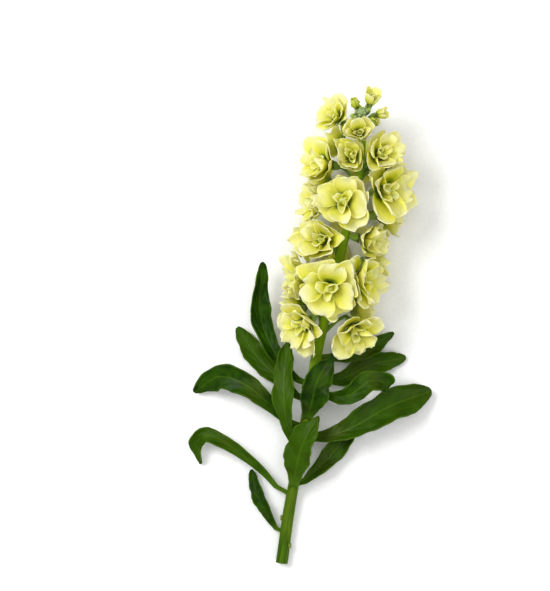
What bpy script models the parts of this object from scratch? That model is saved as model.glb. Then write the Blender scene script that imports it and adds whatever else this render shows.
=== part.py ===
"""A cut stem of double-flowered stock, lying on a flat surface.

The stem runs along +Y, from its cut end to the buds at its tip, and +Z is up.
Named sizes and places are in millimetres, and a mesh is scaled to metres when it is made.
"""

import math
from collections import namedtuple

import bmesh
import bpy
import numpy as np
from mathutils import Vector

MM = 0.001

# Colours, linear
STEM_GREEN = (0.16, 0.33, 0.06)
LEAF_GREEN = (0.05, 0.14, 0.025)
BUD_GREEN = (0.20, 0.33, 0.15)
PETAL_CREAM = (0.82, 0.83, 0.36)
PETAL_YOUNG = (0.58, 0.68, 0.09)

# The middle of the resting footprint, in the plan that the places below are measured in
FOOTPRINT = (-9.952, 8.208, -0.04)

# Main stem: x, y, z and radius from the cut end to the tip
STEM_POINTS = (
    (-31.0, -164.0, 4.3, 4.3),
    (-25.2, -122.0, 7.0, 4.1),
    (-15.8, -72.0, 13.0, 3.9),
    (-6.5, -14.0, 22.5, 3.7),
    (3.6, 29.0, 30.0, 3.5),
    (13.7, 72.0, 35.0, 3.2),
    (21.6, 101.0, 37.0, 2.8),
    (25.8, 128.0, 38.5, 2.3),
    (27.2, 144.0, 41.5, 2.0),
    (26.8, 152.0, 46.0, 1.8),
    (26.2, 156.0, 52.0, 1.6),
)
STEM_RINGS = 22
STEM_SIDES = 9

# Scars of lower leaves: y, angle round the stem, height
SCARS = ((-151.0, 0.4, 1.3), (-131.0, 3.4, 1.6), (-119.0, 5.4, 1.5), (-95.0, 2.0, 1.5))

# Stalk and green cup of each flower; the cup's mouth is the flower's own origin
STALK_RADIUS = 1.15
STALK_RINGS = 2
STALK_DROP = 13.0
CUP_SIDES = 8
CUP_BASE = (-9.0, 1.4)
CUP_BELLY = (-5.0, 3.1)
CUP_RIM_RADIUS = 3.8
CUP_TIP = 0.8
CUP_NOTCH = -1.2
CUP_INSIDE = (-4.4, 2.3)

# A flower whose outer petals reach this far from its axis has the sizes in WHORLS
FULL_REACH = 21.0
FACE_HEIGHT = 8.0

# Petals, four in a whorl. Angles are in degrees from the flower's axis, first shut and then fully open.
Whorl = namedtuple("Whorl", "length width start end cup ruffle base rise turn bands")
WHORLS = (
    Whorl(21.5, 28.0, (30, 43), (-30, 102), (1.20, 0.45), 1.5, 2.4, 0.6, 0, 4),
    Whorl(18.0, 25.0, (22, 27), (-36, 70), (1.20, 0.55), 1.3, 2.3, 1.5, 45, 4),
    Whorl(11.5, 11.5, (8, 10), (-28, 26), (0.60, 0.60), 0.4, 1.9, 2.3, 0, 3),
)
BUD_WHORLS = (
    Whorl(22.0, 24.0, (38, 40), (-47, 60), (0.60, 0.45), 1.2, 2.4, 0.6, 0, 3),
    Whorl(14.0, 15.0, (10, 14), (-20, 10), (0.60, 0.50), 0.6, 2.3, 1.5, 45, 3),
)
PETALS = 4
BUD_BELOW = 0.55
ONE_WHORL_BELOW = 0.2
SHUT_LENGTH = 0.72
CLAW_SHARE = 0.22
CLAW_END = 0.0
WIDEST_AT = 0.68
TIP_REACH = 0.37
TIP_BULGE = 0.08
SECTOR_GAP = 0.45
PETAL_THICKNESS = 1.1

# The heart of a flower, height and radius: a plug, then the rings of corners that the petals grow from
HEART = ((-4.0, 1.5), (-0.2, 2.4), (0.9, 2.9), (1.8, 2.6), (2.6, 2.0), (3.0, 1.1))

# How far a petal keeps to its own side of a neighbour, of the stem and of the surface
CELL_EASE = 7.0
CELL_GAP = 0.95
STEM_CLEAR = 8.5
FLOOR_GAP = -0.85
WHORL_GAP = 1.8

# Flowers: centre of the face, direction it faces, reach of the outer petals, openness, turn
Flower = namedtuple("Flower", "name centre facing reach openness turn")
FLOWERS = (
    Flower("bloom_01", (2.2, 36.7, 57), (-0.10, -0.25, 0.96), 25.9, 1.00, 26),
    Flower("bloom_02", (-16.6, 10.8, 43), (-0.62, -0.40, 0.68), 22.0, 0.86, 5),
    Flower("bloom_03", (21.6, 5.8, 39), (0.30, -0.62, 0.72), 22.0, 0.83, 40),
    Flower("bloom_04", (27.6, 43.2, 47), (0.80, 0.00, 0.60), 24.0, 0.90, 54),
    Flower("bloom_05", (-3.8, 72.0, 53), (-0.45, 0.10, 0.90), 22.6, 0.78, 15),
    Flower("bloom_06", (32.0, 71.0, 43), (0.86, -0.25, 0.44), 21.5, 0.80, 75),
    Flower("bloom_07", (12.2, 99.4, 59), (-0.20, 0.12, 0.97), 24.5, 0.95, 35),
    Flower("bloom_08", (44.5, 107.0, 50.0), (0.66, 0.05, 0.74), 25.5, 0.97, 50),
    Flower("bloom_09", (39.5, 132.5, 57.0), (0.48, 0.22, 0.85), 21.0, 0.82, 30),
    Flower("bloom_10", (-2.5, 127.0, 46), (-0.80, 0.15, 0.58), 22.0, 0.88, 10),
    Flower("bloom_11", (6.8, 160.5, 46.5), (-0.62, 0.45, 0.64), 17.5, 0.80, 65),
    Flower("bloom_12", (-19.5, 45.0, 36), (-0.95, 0.00, 0.30), 22.0, 0.92, 34),
    Flower("bloom_13", (-6.5, 99.0, 40), (-0.95, 0.08, 0.30), 22.0, 0.86, 55),
    Flower("bloom_14", (24.0, 24.0, 15), (0.82, -0.10, -0.32), 20.5, 0.80, 0),
    Flower("bloom_15", (-19.0, 24.0, 15), (-0.82, -0.20, -0.32), 20.5, 0.80, 45),
    Flower("bloom_16", (36.0, 57.0, 16.5), (0.85, 0.05, -0.32), 20.5, 0.82, 20),
    Flower("bloom_17", (-10.5, 72.0, 17), (-0.85, 0.05, -0.32), 20.5, 0.82, 70),
    Flower("bloom_18", (44.0, 91.0, 18), (0.85, 0.05, -0.30), 20.5, 0.82, 35),
    Flower("bloom_19", (0.0, 112.0, 17.5), (-0.80, 0.20, -0.36), 20.0, 0.80, 15),
    Flower("bloom_20", (47.0, 125.0, 26), (0.85, 0.20, -0.15), 18.5, 0.80, 50),
    Flower("bloom_21", (10.0, 143.0, 24), (-0.75, 0.35, -0.30), 18.0, 0.78, 30),
    Flower("opening_01", (23.6, 146.9, 58.5), (-0.05, -0.15, 0.98), 16.0, 0.72, 46),
    Flower("opening_02", (32.6, 171.5, 51.5), (0.30, 0.78, 0.55), 13.0, 0.50, 33),
    Flower("opening_03", (39.0, 161.8, 47.0), (0.90, 0.25, 0.35), 9.5, 0.38, 60),
    Flower("opening_04", (35.5, 157.0, 35.0), (0.50, 0.50, -0.70), 10.0, 0.25, 5),
    Flower("young_01", (21.2, 168.6, 53.0), (-0.35, 0.75, 0.55), 9.5, 0.19, 0),
    Flower("young_02", (24.0, 166.5, 36.0), (-0.10, 0.75, -0.65), 7.5, 0.12, 40),
    Flower("young_03", (32.6, 155.3, 56.5), (0.45, -0.15, 0.88), 8.8, 0.16, 44),
    Flower("bloom_22", (19.0, 131.5, 55.0), (-0.05, 0.12, 0.99), 19.5, 0.85, 35),
    Flower("bloom_23", (9.0, 51.0, 9.0), (0.05, -0.10, -0.99), 20.0, 0.80, 10),
    Flower("bloom_24", (20.5, 92.0, 11.0), (0.10, 0.00, -0.99), 19.5, 0.80, 40),
    Flower("bloom_25", (29.0, 129.0, 14.5), (0.10, 0.30, -0.95), 18.0, 0.78, 25),
)
YOUNG = "young"

# Green buds that crowd the tip of the stem
BUD_CORE_RADIUS = 3.6
BUD_CORE_LENGTH = 9.5
BUD_COUNT = 26
BUD_LENGTH = (10.0, 4.0)
BUD_WIDTH = (5.0, 3.2)
BUD_TILT = (84.0, 8.0)
BUD_PROFILE = ((0.0, 0.36), (0.4, 0.42), (0.7, 1.0), (1.0, 0.4))
BUD_SIDES = 5
BUD_CLEAR = 0.5
GOLDEN_TURN = math.radians(137.5)

# Leaves: midrib points from the stem outwards, width, roll in degrees at base and tip, wave, where along
# it a leaf is widest, and how pointed its tip is
Leaf = namedtuple("Leaf", "name midrib width roll wave phase widest point")
LEAVES = (
    Leaf(
        "leaf_01",
        ((-11.5, -71.5, 14.5), (3.6, -70, 19), (21.6, -63, 21), (46.8, -49, 17), (72, -40, 9)),
        25.0, (25, 0), 1.6, 0.3, 0.82, 0.42,
    ),
    Leaf(
        "leaf_02",
        ((-2.0, -13, 21.5), (14, -12, 15), (32, -6, 10), (50, 4, 7)),
        15.0, (10, -15), 2.0, 1.2, 0.6, 0.8,
    ),
    Leaf(
        "leaf_03",
        ((-6.5, -38, 20.5), (7, -41, 27), (19, -39, 32), (31, -30, 34), (42, -31, 29), (45, -37, 23)),
        17.0, (-35, 35), 3.0, 2.0, 0.55, 0.6,
    ),
    Leaf(
        "leaf_04",
        ((-13.5, -60, 19), (-9.4, -45, 27), (-5, -28, 32), (5, -12, 32)),
        23.0, (0, -20), 2.4, 0.0, 0.52, 0.85,
    ),
    Leaf(
        "leaf_05",
        ((-22.5, -110, 13), (-20.5, -92, 22), (-15.5, -74, 29), (-5.5, -57, 31)),
        23.0, (5, 35), 2.4, 2.6, 0.56, 0.8,
    ),
    Leaf(
        "leaf_06",
        ((-21.3, -80, 14), (-28, -57, 27), (-29.5, -30, 25), (-27, -4, 19)),
        17.0, (30, 10), 2.2, 0.8, 0.6, 0.6,
    ),
    Leaf(
        "leaf_07",
        ((-14.3, -34, 20), (-34, -14, 17), (-47, 18, 17), (-45, 54, 24)),
        16.0, (0, -25), 2.0, 1.7, 0.65, 0.6,
    ),
    Leaf(
        "leaf_08",
        ((-28.8, -116, 8), (-45, -96, 13), (-65, -80, 16), (-84, -70, 15), (-93, -76, 10), (-91, -90, 4)),
        12.0, (15, -30), 2.0, 0.5, 0.65, 0.6,
    ),
    Leaf(
        "leaf_09",
        ((-20.5, -66, 15), (-38, -49, 22), (-57, -33, 24), (-76, -27, 17), (-93, -37, 7)),
        20.0, (-20, 15), 2.2, 2.2, 0.65, 0.55,
    ),
    Leaf(
        "leaf_10",
        ((-16.7, -106.3, 9), (-8, -98, 10), (5, -85, 9), (15, -71, 8), (21, -56, 8)),
        16.0, (15, -5), 2.2, 1.1, 0.6, 0.7,
    ),
    Leaf(
        "leaf_11",
        ((-33.0, -142, 6), (-41, -129, 8), (-49, -113, 7), (-53, -97, 4)),
        10.0, (0, 10), 1.0, 0.0, 0.6, 0.6,
    ),
    Leaf(
        "leaf_12",
        ((-16.0, -45, 14.5), (-32, -30, 8), (-49, -13, 4), (-62, 6, 2.5)),
        17.0, (0, 0), 1.0, 2.9, 0.65, 0.5,
    ),
    Leaf(
        "leaf_13",
        ((-5.5, -27, 17.5), (12, -29, 9), (34, -19, 4.5), (57, -14, 3)),
        17.0, (0, 0), 1.0, 0.9, 0.65, 0.5,
    ),
)
LEAF_BANDS = 12
LEAF_FOLD = 0.75
LEAF_THICKNESS = 1.3
LEAF_STALK_SHARE = 0.27
LEAF_WAVES = 2.6
LEAF_TIP_BULGE = 1.2
BROAD_LEAF = 20.0

UP = np.array((0.0, 0.0, 1.0))


def eased_step(value, low, high):
    """0 below low, 1 above high, and smooth between them."""
    share = np.clip((np.asarray(value, float) - low) / (high - low), 0.0, 1.0)
    return share * share * (3.0 - 2.0 * share)


def mixed(pair, share):
    return pair[0] + (pair[1] - pair[0]) * share


def chance(*keys):
    """A number from -1 to 1 that depends only on its whole-number keys."""
    mixed_keys = sum(key * weight for key, weight in zip(keys, (12.9898, 78.233, 37.719)))
    value = math.sin(mixed_keys + 4.581) * 43758.5453
    return 2.0 * (value - math.floor(value)) - 1.0


def unit(vector):
    vector = np.asarray(vector, float)
    return vector / np.linalg.norm(vector, axis=-1, keepdims=True)


def curve_through(points, places):
    """Points of a smooth curve through the given ones, at places from 0 to 1 along it."""
    points = np.asarray(points, float)
    padded = np.vstack((2 * points[0] - points[1], points, 2 * points[-1] - points[-2]))
    place = np.asarray(places, float) * (len(points) - 1.0)
    index = np.minimum(place.astype(int), len(points) - 2)
    t = (place - index)[:, None]
    a, b, c, d = (padded[index + k] for k in range(4))
    return 0.5 * (2 * b + (c - a) * t + (2 * a - 5 * b + 4 * c - d) * t**2 + (3 * b - a - 3 * c + d) * t**3)


STEM_LINE = curve_through(STEM_POINTS, np.linspace(0.0, 1.0, 160))


def stem_at(y):
    """x, y, z and radius of the main stem at this y."""
    columns = [np.interp(y, STEM_LINE[:, 1], STEM_LINE[:, k]) for k in range(4)]
    return np.stack(columns, axis=-1)


def row_places(rows):
    """Places of a blade's rows along it, closer together towards the tip."""
    return 1.0 - (1.0 - np.linspace(0.0, 1.0, rows)[:, None]) ** 1.25


def directions(line):
    return unit(np.gradient(line, axis=0))


# Meshes


def material(name, colour, roughness):
    made = bpy.data.materials.new(name)
    made.use_nodes = True
    made.diffuse_color = (*colour, 1.0)
    shader = made.node_tree.nodes["Principled BSDF"]
    shader.inputs["Base Color"].default_value = (*colour, 1.0)
    shader.inputs["Roughness"].default_value = roughness
    shader.inputs["Metallic"].default_value = 0.0
    return made


def object_from(name, bm, finish):
    """An object at the part's origin from a bmesh in millimetres of the plan."""
    bmesh.ops.recalc_face_normals(bm, faces=bm.faces)
    bmesh.ops.translate(bm, verts=bm.verts, vec=-Vector(FOOTPRINT))
    bmesh.ops.scale(bm, verts=bm.verts, vec=(MM, MM, MM))
    mesh = bpy.data.meshes.new(name)
    bm.to_mesh(mesh)
    bm.free()
    mesh.materials.append(finish)
    made = bpy.data.objects.new(name, mesh)
    bpy.context.scene.collection.objects.link(made)
    return made


def stacked(bm, rings):
    """One closed skin over a stack of rings with equal numbers of points, capped at both ends."""
    loops = [[bm.verts.new(point) for point in ring] for ring in rings]
    sides = len(loops[0])
    for lower, upper in zip(loops, loops[1:]):
        for k in range(sides):
            after = (k + 1) % sides
            bm.faces.new((lower[k], lower[after], upper[after]))
            bm.faces.new((lower[k], upper[after], upper[k]))
    bm.faces.new(list(reversed(loops[0])))
    bm.faces.new(loops[-1])


def blade(bm, sheet, thickness, root=None):
    """A closed blade round a sheet of points, thick in its middle. A root gives the four corners
    that it grows from: left, right, upper and lower."""
    rows, columns = sheet.shape[:2]
    along = np.gradient(sheet, axis=0)
    across = np.gradient(sheet, axis=1)
    offset = unit(np.cross(along, across)) * thickness / 2
    last = rows - 1
    rim = {}
    for r in range(0 if root is None else 1, rows):
        for c in range(columns):
            if r in (0, last) or c in (0, columns - 1):
                rim[r, c] = bm.verts.new(sheet[r, c])
    for side in (1, -1):
        grid = dict(rim)
        if root is not None:
            left, right, upper, lower = root
            grid.update({(0, 0): left, (0, 1): upper if side > 0 else lower, (0, 2): right})
        for r in range(1, last):
            for c in range(1, columns - 1):
                grid[r, c] = bm.verts.new(sheet[r, c] + side * offset[r, c])
        for r in range(last):
            for c in range(columns - 1):
                a, b = grid[r, c], grid[r + 1, c]
                d, e = grid[r, c + 1], grid[r + 1, c + 1]
                if (c < columns // 2) == (r < rows // 2):
                    pair = ((a, b, e), (a, e, d))
                else:
                    pair = ((a, b, d), (d, b, e))
                for corners in pair:
                    bm.faces.new(corners if side > 0 else corners[::-1])


def tube(bm, line, radii, sides):
    """A round tube along a line of points."""
    forward = directions(line)
    side = unit(np.cross(forward, UP))
    top = np.cross(side, forward)
    rings = []
    for centre, s, t, radius in zip(line, side, top, radii):
        turns = [2 * math.pi * k / sides for k in range(sides)]
        rings.append([centre + radius * (s * math.cos(a) + t * math.sin(a)) for a in turns])
    stacked(bm, rings)


def joined(name, pieces, finish):
    """One object from pieces that cross each other, by one Boolean union."""
    first, *others = [object_from(f"{name}_piece_{k}", piece, finish) for k, piece in enumerate(pieces)]
    first.name = name
    group = bpy.data.collections.new(name)
    bpy.context.scene.collection.children.link(group)
    for other in others:
        bpy.context.scene.collection.objects.unlink(other)
        group.objects.link(other)
    join = first.modifiers.new("join", "BOOLEAN")
    join.operation = "UNION"
    join.operand_type = "COLLECTION"
    join.collection = group
    join.solver = "MANIFOLD"
    bpy.context.view_layer.objects.active = first
    bpy.ops.object.modifier_apply(modifier=join.name)
    for other in others:
        bpy.data.objects.remove(other)
    bpy.data.collections.remove(group)
    return first


def filled_in(made):
    """Keeps only the outer skin, so that the small hollows closed off inside become solid."""
    bm = bmesh.new()
    bm.from_mesh(made.data)
    unseen = set(bm.verts)
    skins = []
    while unseen:
        ahead = [unseen.pop()]
        skin = set(ahead)
        while ahead:
            for edge in ahead.pop().link_edges:
                for vert in edge.verts:
                    if vert in unseen:
                        unseen.discard(vert)
                        skin.add(vert)
                        ahead.append(vert)
        skins.append(skin)
    outer = max(skins, key=len)
    bmesh.ops.delete(bm, geom=[vert for vert in bm.verts if vert not in outer], context="VERTS")
    bm.to_mesh(made.data)
    bm.free()


def smoothed(made, angle):
    made.data.shade_smooth()
    made.data.set_sharp_from_angle(angle=math.radians(angle))


# Flowers


def flower_axes(flower):
    """Side, top and facing directions of a flower, as rows."""
    facing = unit(flower.facing)
    side = unit(np.cross((0.0, 1.0, 0.0), facing))
    return np.stack((side, np.cross(facing, side), facing))


def flower_scale(flower):
    return flower.reach / FULL_REACH


def flower_mouth(flower):
    """Where the petals leave the green cup."""
    height = FACE_HEIGHT * flower_scale(flower)
    return np.asarray(flower.centre, float) - unit(flower.facing) * height


def cup_scale(flower):
    return max(0.46, flower_scale(flower)) ** 0.6


def placed(flower, points, scale):
    """Points of a flower's own frame, in the plan."""
    return flower_mouth(flower) + (np.asarray(points, float) * scale) @ flower_axes(flower)


def eased(distance, start, limit):
    """A signed distance that is left alone up to start, and never passes limit."""
    over = np.maximum(distance - start, 0.0)
    room = limit - start
    return np.where(distance > start, start + room * (1.0 - np.exp(-over / room)), distance)


def cell_radius(flower):
    return flower.reach * mixed((0.6, 1.0), flower.openness)


def neighbour_planes(flower):
    """The planes that part a flower from others: direction, distance from the origin, and how far
    in front of each the petals start to give way."""
    centre = np.asarray(flower.centre, float)
    own = cell_radius(flower)
    planes = []
    for other in FLOWERS:
        gap = np.asarray(other.centre, float) - centre
        distance = np.linalg.norm(gap)
        theirs = cell_radius(other)
        if other is flower or distance > own + theirs:
            continue
        share = (distance**2 + own**2 - theirs**2) / (2 * distance)
        direction = gap / distance
        ease = min(CELL_EASE, max(0.7 * share, CELL_GAP + 1.0))
        planes.append((direction, centre @ direction + share, ease))
    return planes


def kept_clear(flower, points, weight, inset):
    """Points pressed back to the flower's own side of its neighbours, off the stem and the surface."""
    moved = points.copy()
    for direction, level, ease in neighbour_planes(flower):
        distance = moved @ direction - level
        pressed = eased(distance, -ease - inset, -CELL_GAP - inset)
        moved += np.multiply.outer(pressed - distance, direction)
    axis = stem_at(moved[..., 1])[..., :3]
    spoke = moved - axis
    spoke[..., 1] = 0.0
    reach = np.maximum(np.linalg.norm(spoke, axis=-1), 1e-6)
    wanted = -eased(-reach, -STEM_CLEAR - 4.0 - inset, -STEM_CLEAR - inset)
    before_tip = 1.0 - eased_step(moved[..., 1], STEM_POINTS[-1][1], STEM_POINTS[-1][1] + 8.0)
    moved += spoke * (before_tip * (wanted - reach) / reach)[..., None]
    moved[..., 2] = -eased(-moved[..., 2], -FLOOR_GAP - 5.0 - inset, -FLOOR_GAP - inset)
    return points + (moved - points) * weight[..., None]


def petal_half_width(t):
    """Half of a petal's width, as a share of its widest, from claw to tip."""
    rise = eased_step(t, CLAW_END, WIDEST_AT)
    past = np.clip((t - WIDEST_AT) / TIP_REACH, 0.0, 0.97)
    return CLAW_SHARE + (1.0 - CLAW_SHARE) * rise * np.sqrt(1.0 - past**2)


def petal_sheet(flower, whorl, ring, number, rows, columns):
    """Points of one petal, rows from claw to tip and columns from edge to edge, in the plan."""
    scale = flower_scale(flower)
    foot = cup_scale(flower)
    key = FLOWERS.index(flower) + 1
    vary = [chance(key, ring * 7 + number + 1, k + 1) for k in range(6)]
    openness = flower.openness
    length = whorl.length * scale * mixed((SHUT_LENGTH, 1.0), openness) * (1 + 0.09 * vary[0])
    width = whorl.width * scale * mixed((SHUT_LENGTH, 1.0), openness) * (1 + 0.08 * vary[1])
    start = math.radians(mixed(whorl.start, openness))
    end = math.radians(mixed(whorl.end, openness) + 8 * openness * vary[2])
    cup = mixed(whorl.cup, openness) * (1 + 0.25 * vary[3])
    s = np.linspace(-1.0, 1.0, columns)[None, :]
    row = row_places(rows)
    t = row + TIP_BULGE * row**4 * (1.0 - s**2)
    bend = end - start
    radius = length / bend
    angle = start + bend * t
    out = whorl.base * foot + radius * (math.cos(start) - np.cos(angle))
    high = whorl.rise * foot + radius * (np.sin(angle) - math.sin(start))
    half = petal_half_width(row) * width / 2
    across = half * np.sin(cup * s) / cup
    lift = half * (1.0 - np.cos(cup * s)) / cup
    wave = np.sin(2.6 * s + 5.0 * t + 3.1 * vary[4]) * (0.5 + 0.5 * s**2)
    lift = lift + whorl.ruffle * scale * openness * wave * eased_step(t, 0.3, 1.0)
    out = np.maximum(out - lift * np.cos(angle), 0.9 * foot)
    high = high + lift * np.sin(angle)
    sector = math.pi / PETALS
    room = out * math.tan(sector) - SECTOR_GAP * foot / math.cos(sector)
    across = room * np.tanh(across / room)
    turn = math.radians(flower.turn + whorl.turn + 360.0 * number / PETALS)
    x = out * math.cos(turn) - across * math.sin(turn)
    y = out * math.sin(turn) + across * math.cos(turn)
    points = placed(flower, np.stack((x, y, high), axis=-1), 1.0)
    held = mixed((0.45, 0.05), openness)
    return kept_clear(flower, points, eased_step(t + 0 * s, held, held + 0.4), ring * WHORL_GAP)


def whorls_of(flower):
    """The whorls of petals that show in a flower this far open."""
    if flower.openness < ONE_WHORL_BELOW:
        return BUD_WHORLS[:1]
    return BUD_WHORLS if flower.openness < BUD_BELOW else WHORLS


def flower_head(flower, finish):
    """The petals of one flower, grown from the corners of the heart that plugs into its green cup."""
    made = bmesh.new()
    rings = []
    for level, (height, radius) in enumerate(HEART):
        first = math.radians(flower.turn + (45 if level in (2, 4) else 0))
        turns = [first + math.pi / 2 * k for k in range(PETALS)]
        local = [(radius * math.cos(a), radius * math.sin(a), height) for a in turns]
        rings.append([made.verts.new(point) for point in placed(flower, local, cup_scale(flower))])
    thickness = PETAL_THICKNESS * mixed((0.55, 1.0), flower.openness)
    whorls = whorls_of(flower)
    plug, first = rings[0], rings[1]
    for k in range(PETALS):
        after = (k + 1) % PETALS
        made.faces.new((plug[k], rings[2][k], first[k]))
        made.faces.new((plug[k], plug[after], rings[2][k]))
        made.faces.new((plug[after], first[after], rings[2][k]))
        for ring in range(len(WHORLS)):
            left = (k - 1 + ring % 2) % PETALS
            right = (left + 1) % PETALS
            corners = (rings[ring + 2][left], rings[ring + 2][right], rings[ring + 3][k], rings[ring + 1][k])
            if ring < len(whorls):
                sheet = petal_sheet(flower, whorls[ring], ring, k, whorls[ring].bands + 1, 3)
                blade(made, sheet, thickness, corners)
            else:
                made.faces.new((corners[0], corners[3], corners[1]))
                made.faces.new((corners[0], corners[1], corners[2]))
        made.faces.new((rings[-2][k], rings[-1][after], rings[-1][k]))
    made.faces.new(plug[::-1])
    made.faces.new(rings[-1])
    head = object_from(flower.name, made, finish)
    smoothed(head, 40)
    return head


def stalk_and_cup(flower):
    """The stalk from the main stem and, at its end, the cup of sepals, open at its mouth."""
    scale = cup_scale(flower)
    side, top, facing = flower_axes(flower)
    mouth = flower_mouth(flower)
    foot = mouth + facing * CUP_BASE[0] * scale
    last = STEM_POINTS[-1][1] - 4.0
    root = stem_at(min(foot[1] - STALK_DROP * scale, last))[:3]
    before = foot - facing * 5.0 * scale
    turns = [2 * math.pi * k / CUP_SIDES for k in range(CUP_SIDES)]
    rings = []
    for k in range(STALK_RINGS):
        t = k / STALK_RINGS
        centre = (1 - t) ** 2 * root + 2 * t * (1 - t) * before + t**2 * foot
        forward = unit((1 - t) * (before - root) + t * (foot - before))
        across = unit(side - forward * (side @ forward))
        over = np.cross(forward, across)
        radius = STALK_RADIUS * scale
        rings.append([centre + radius * (across * math.cos(a) + over * math.sin(a)) for a in turns])
    for height, radius in (CUP_BASE, CUP_BELLY, (0.0, CUP_RIM_RADIUS), CUP_INSIDE):
        ring = []
        for k, a in enumerate(turns):
            level = (CUP_TIP, CUP_NOTCH)[k % 2] if height == 0.0 else height
            ring.append((radius * math.cos(a), radius * math.sin(a), level))
        rings.append(placed(flower, ring, scale))
    made = bmesh.new()
    stacked(made, rings)
    return made


def leaf_scar(y, turn, height):
    """A low knob where a leaf has been taken off the stem."""
    x, y, z, radius = stem_at(y)
    out = np.array((math.cos(turn), 0.0, math.sin(turn)))
    over = np.cross(out, (0.0, 1.0, 0.0))
    rings = []
    for rise, girth in ((-1.2, 2.6), (0.5 * height, 2.0), (height, 0.9)):
        centre = np.array((x, y, z)) + out * (radius + rise) + np.array((0.0, 0.7 * rise, 0.0))
        turns = [2 * math.pi * k / 6 for k in range(6)]
        rings.append(
            [centre + girth * (over * math.cos(a) + np.array((0, 0.7, 0)) * math.sin(a)) for a in turns]
        )
    made = bmesh.new()
    stacked(made, rings)
    return made


def main_stem():
    line = curve_through(STEM_POINTS, np.linspace(0.0, 1.0, STEM_RINGS))
    made = bmesh.new()
    tube(made, line[:, :3], line[:, 3], STEM_SIDES)
    return made


# Buds and leaves


def bud_piece(root, direction, length, width):
    """One shut bud on its short stalk."""
    direction = unit(direction)
    side = unit(np.cross(direction, (0.31, 0.22, 0.92)))
    top = np.cross(direction, side)
    rings = []
    for share, girth in BUD_PROFILE:
        turns = [2 * math.pi * k / BUD_SIDES for k in range(BUD_SIDES)]
        radius = girth * width / 2
        centre = root + direction * length * share
        rings.append([centre + radius * (side * math.cos(a) + top * math.sin(a)) for a in turns])
    made = bmesh.new()
    stacked(made, rings)
    return made


def bud_has_room(root, aim, length, width):
    """Whether a bud stays clear of the flowers that stand round the cluster."""
    for flower in FLOWERS:
        facing = flower_axes(flower)[2]
        centre = np.asarray(flower.centre, float)
        foot = flower_mouth(flower) + facing * CUP_BASE[0] * cup_scale(flower)
        for share, girth in BUD_PROFILE:
            spot = root + aim * length * share
            along = np.clip((spot - foot) @ facing / np.linalg.norm(centre - foot), 0.0, 1.0)
            body = mixed((STALK_RADIUS, 0.45 * flower.reach), along) + girth * width / 2
            if np.linalg.norm(spot - foot - (centre - foot) * along) < body + BUD_CLEAR:
                return False
    return True


def bud_cluster(finish):
    """The shut buds at the tip, in a spiral round a core that sits on the end of the stem."""
    tip = STEM_LINE[-1, :3]
    forward = directions(STEM_LINE[:, :3])[-1]
    side = unit(np.cross(forward, UP))
    top = np.cross(side, forward)
    foot = tip + forward * 0.3
    core = []
    for share, girth in ((0.0, 0.55), (0.35, 1.0), (0.75, 0.85), (1.0, 0.35)):
        turns = [2 * math.pi * k / 7 for k in range(7)]
        centre = foot + forward * BUD_CORE_LENGTH * share
        radius = girth * BUD_CORE_RADIUS
        core.append([centre + radius * (side * math.cos(a) + top * math.sin(a)) for a in turns])
    pieces = [bmesh.new()]
    stacked(pieces[0], core)
    for k in range(BUD_COUNT):
        share = ((k + 0.5) / BUD_COUNT) ** 0.7
        angle = k * GOLDEN_TURN
        around = side * math.cos(angle) + top * math.sin(angle)
        tilt = math.radians(mixed(BUD_TILT, share) + 5 * chance(k, 3, 1))
        aim = forward * math.cos(tilt) + around * math.sin(tilt)
        root = foot + forward * BUD_CORE_LENGTH * (0.1 + 0.82 * share) + around * 1.0 * (1 - share)
        size = (mixed(BUD_LENGTH, share), mixed(BUD_WIDTH, share))
        if bud_has_room(root, aim, *size):
            pieces.append(bud_piece(root, aim, *size))
    cluster = joined("bud_cluster", pieces, finish)
    filled_in(cluster)
    smoothed(cluster, 40)
    return cluster


def leaf_half_width(leaf, t):
    """Half of a leaf's width, as a share of its widest, from stem to tip."""
    rise = eased_step(t, 0.0, leaf.widest)
    past = np.clip((t - leaf.widest) / (1.02 - leaf.widest), 0.0, 0.97)
    return (LEAF_STALK_SHARE + (1 - LEAF_STALK_SHARE) * rise) * (1.0 - past**2) ** leaf.point


def leaf_sheet(leaf, rows, columns):
    """Points of a leaf, rows from stem to tip and columns from edge to edge."""
    t = row_places(rows)
    line = curve_through(leaf.midrib, t[:, 0])
    forward = directions(line)
    flat_side = unit(np.cross(forward, UP))
    roll = np.radians(leaf.roll[0] + (leaf.roll[1] - leaf.roll[0]) * t)
    flat_top = np.cross(flat_side, forward)
    side = flat_side * np.cos(roll) + flat_top * np.sin(roll)
    top = np.cross(side, forward)
    half = leaf_half_width(leaf, t) * leaf.width / 2
    s = np.linspace(-1.0, 1.0, columns)[None, :]
    across = half * np.sin(LEAF_FOLD * s) / LEAF_FOLD
    lift = half * (1 - np.cos(LEAF_FOLD * s)) / LEAF_FOLD
    wave = np.sin(2 * math.pi * LEAF_WAVES * t + leaf.phase + 1.3 * s)
    lift = lift + leaf.wave * wave * s**2 * eased_step(t, 0.05, 0.5)
    ahead = LEAF_TIP_BULGE * half * t**6 * (1.0 - s**2)
    sheet = line[:, None, :] + ahead[..., None] * forward[:, None, :]
    return sheet + across[..., None] * side[:, None, :] + lift[..., None] * top[:, None, :]


def leaf_object(leaf, finish):
    made = bmesh.new()
    columns = 5 if leaf.width >= BROAD_LEAF else 3
    blade(made, leaf_sheet(leaf, LEAF_BANDS + 1, columns), LEAF_THICKNESS)
    done = object_from(leaf.name, made, finish)
    smoothed(done, 40)
    return done


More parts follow.
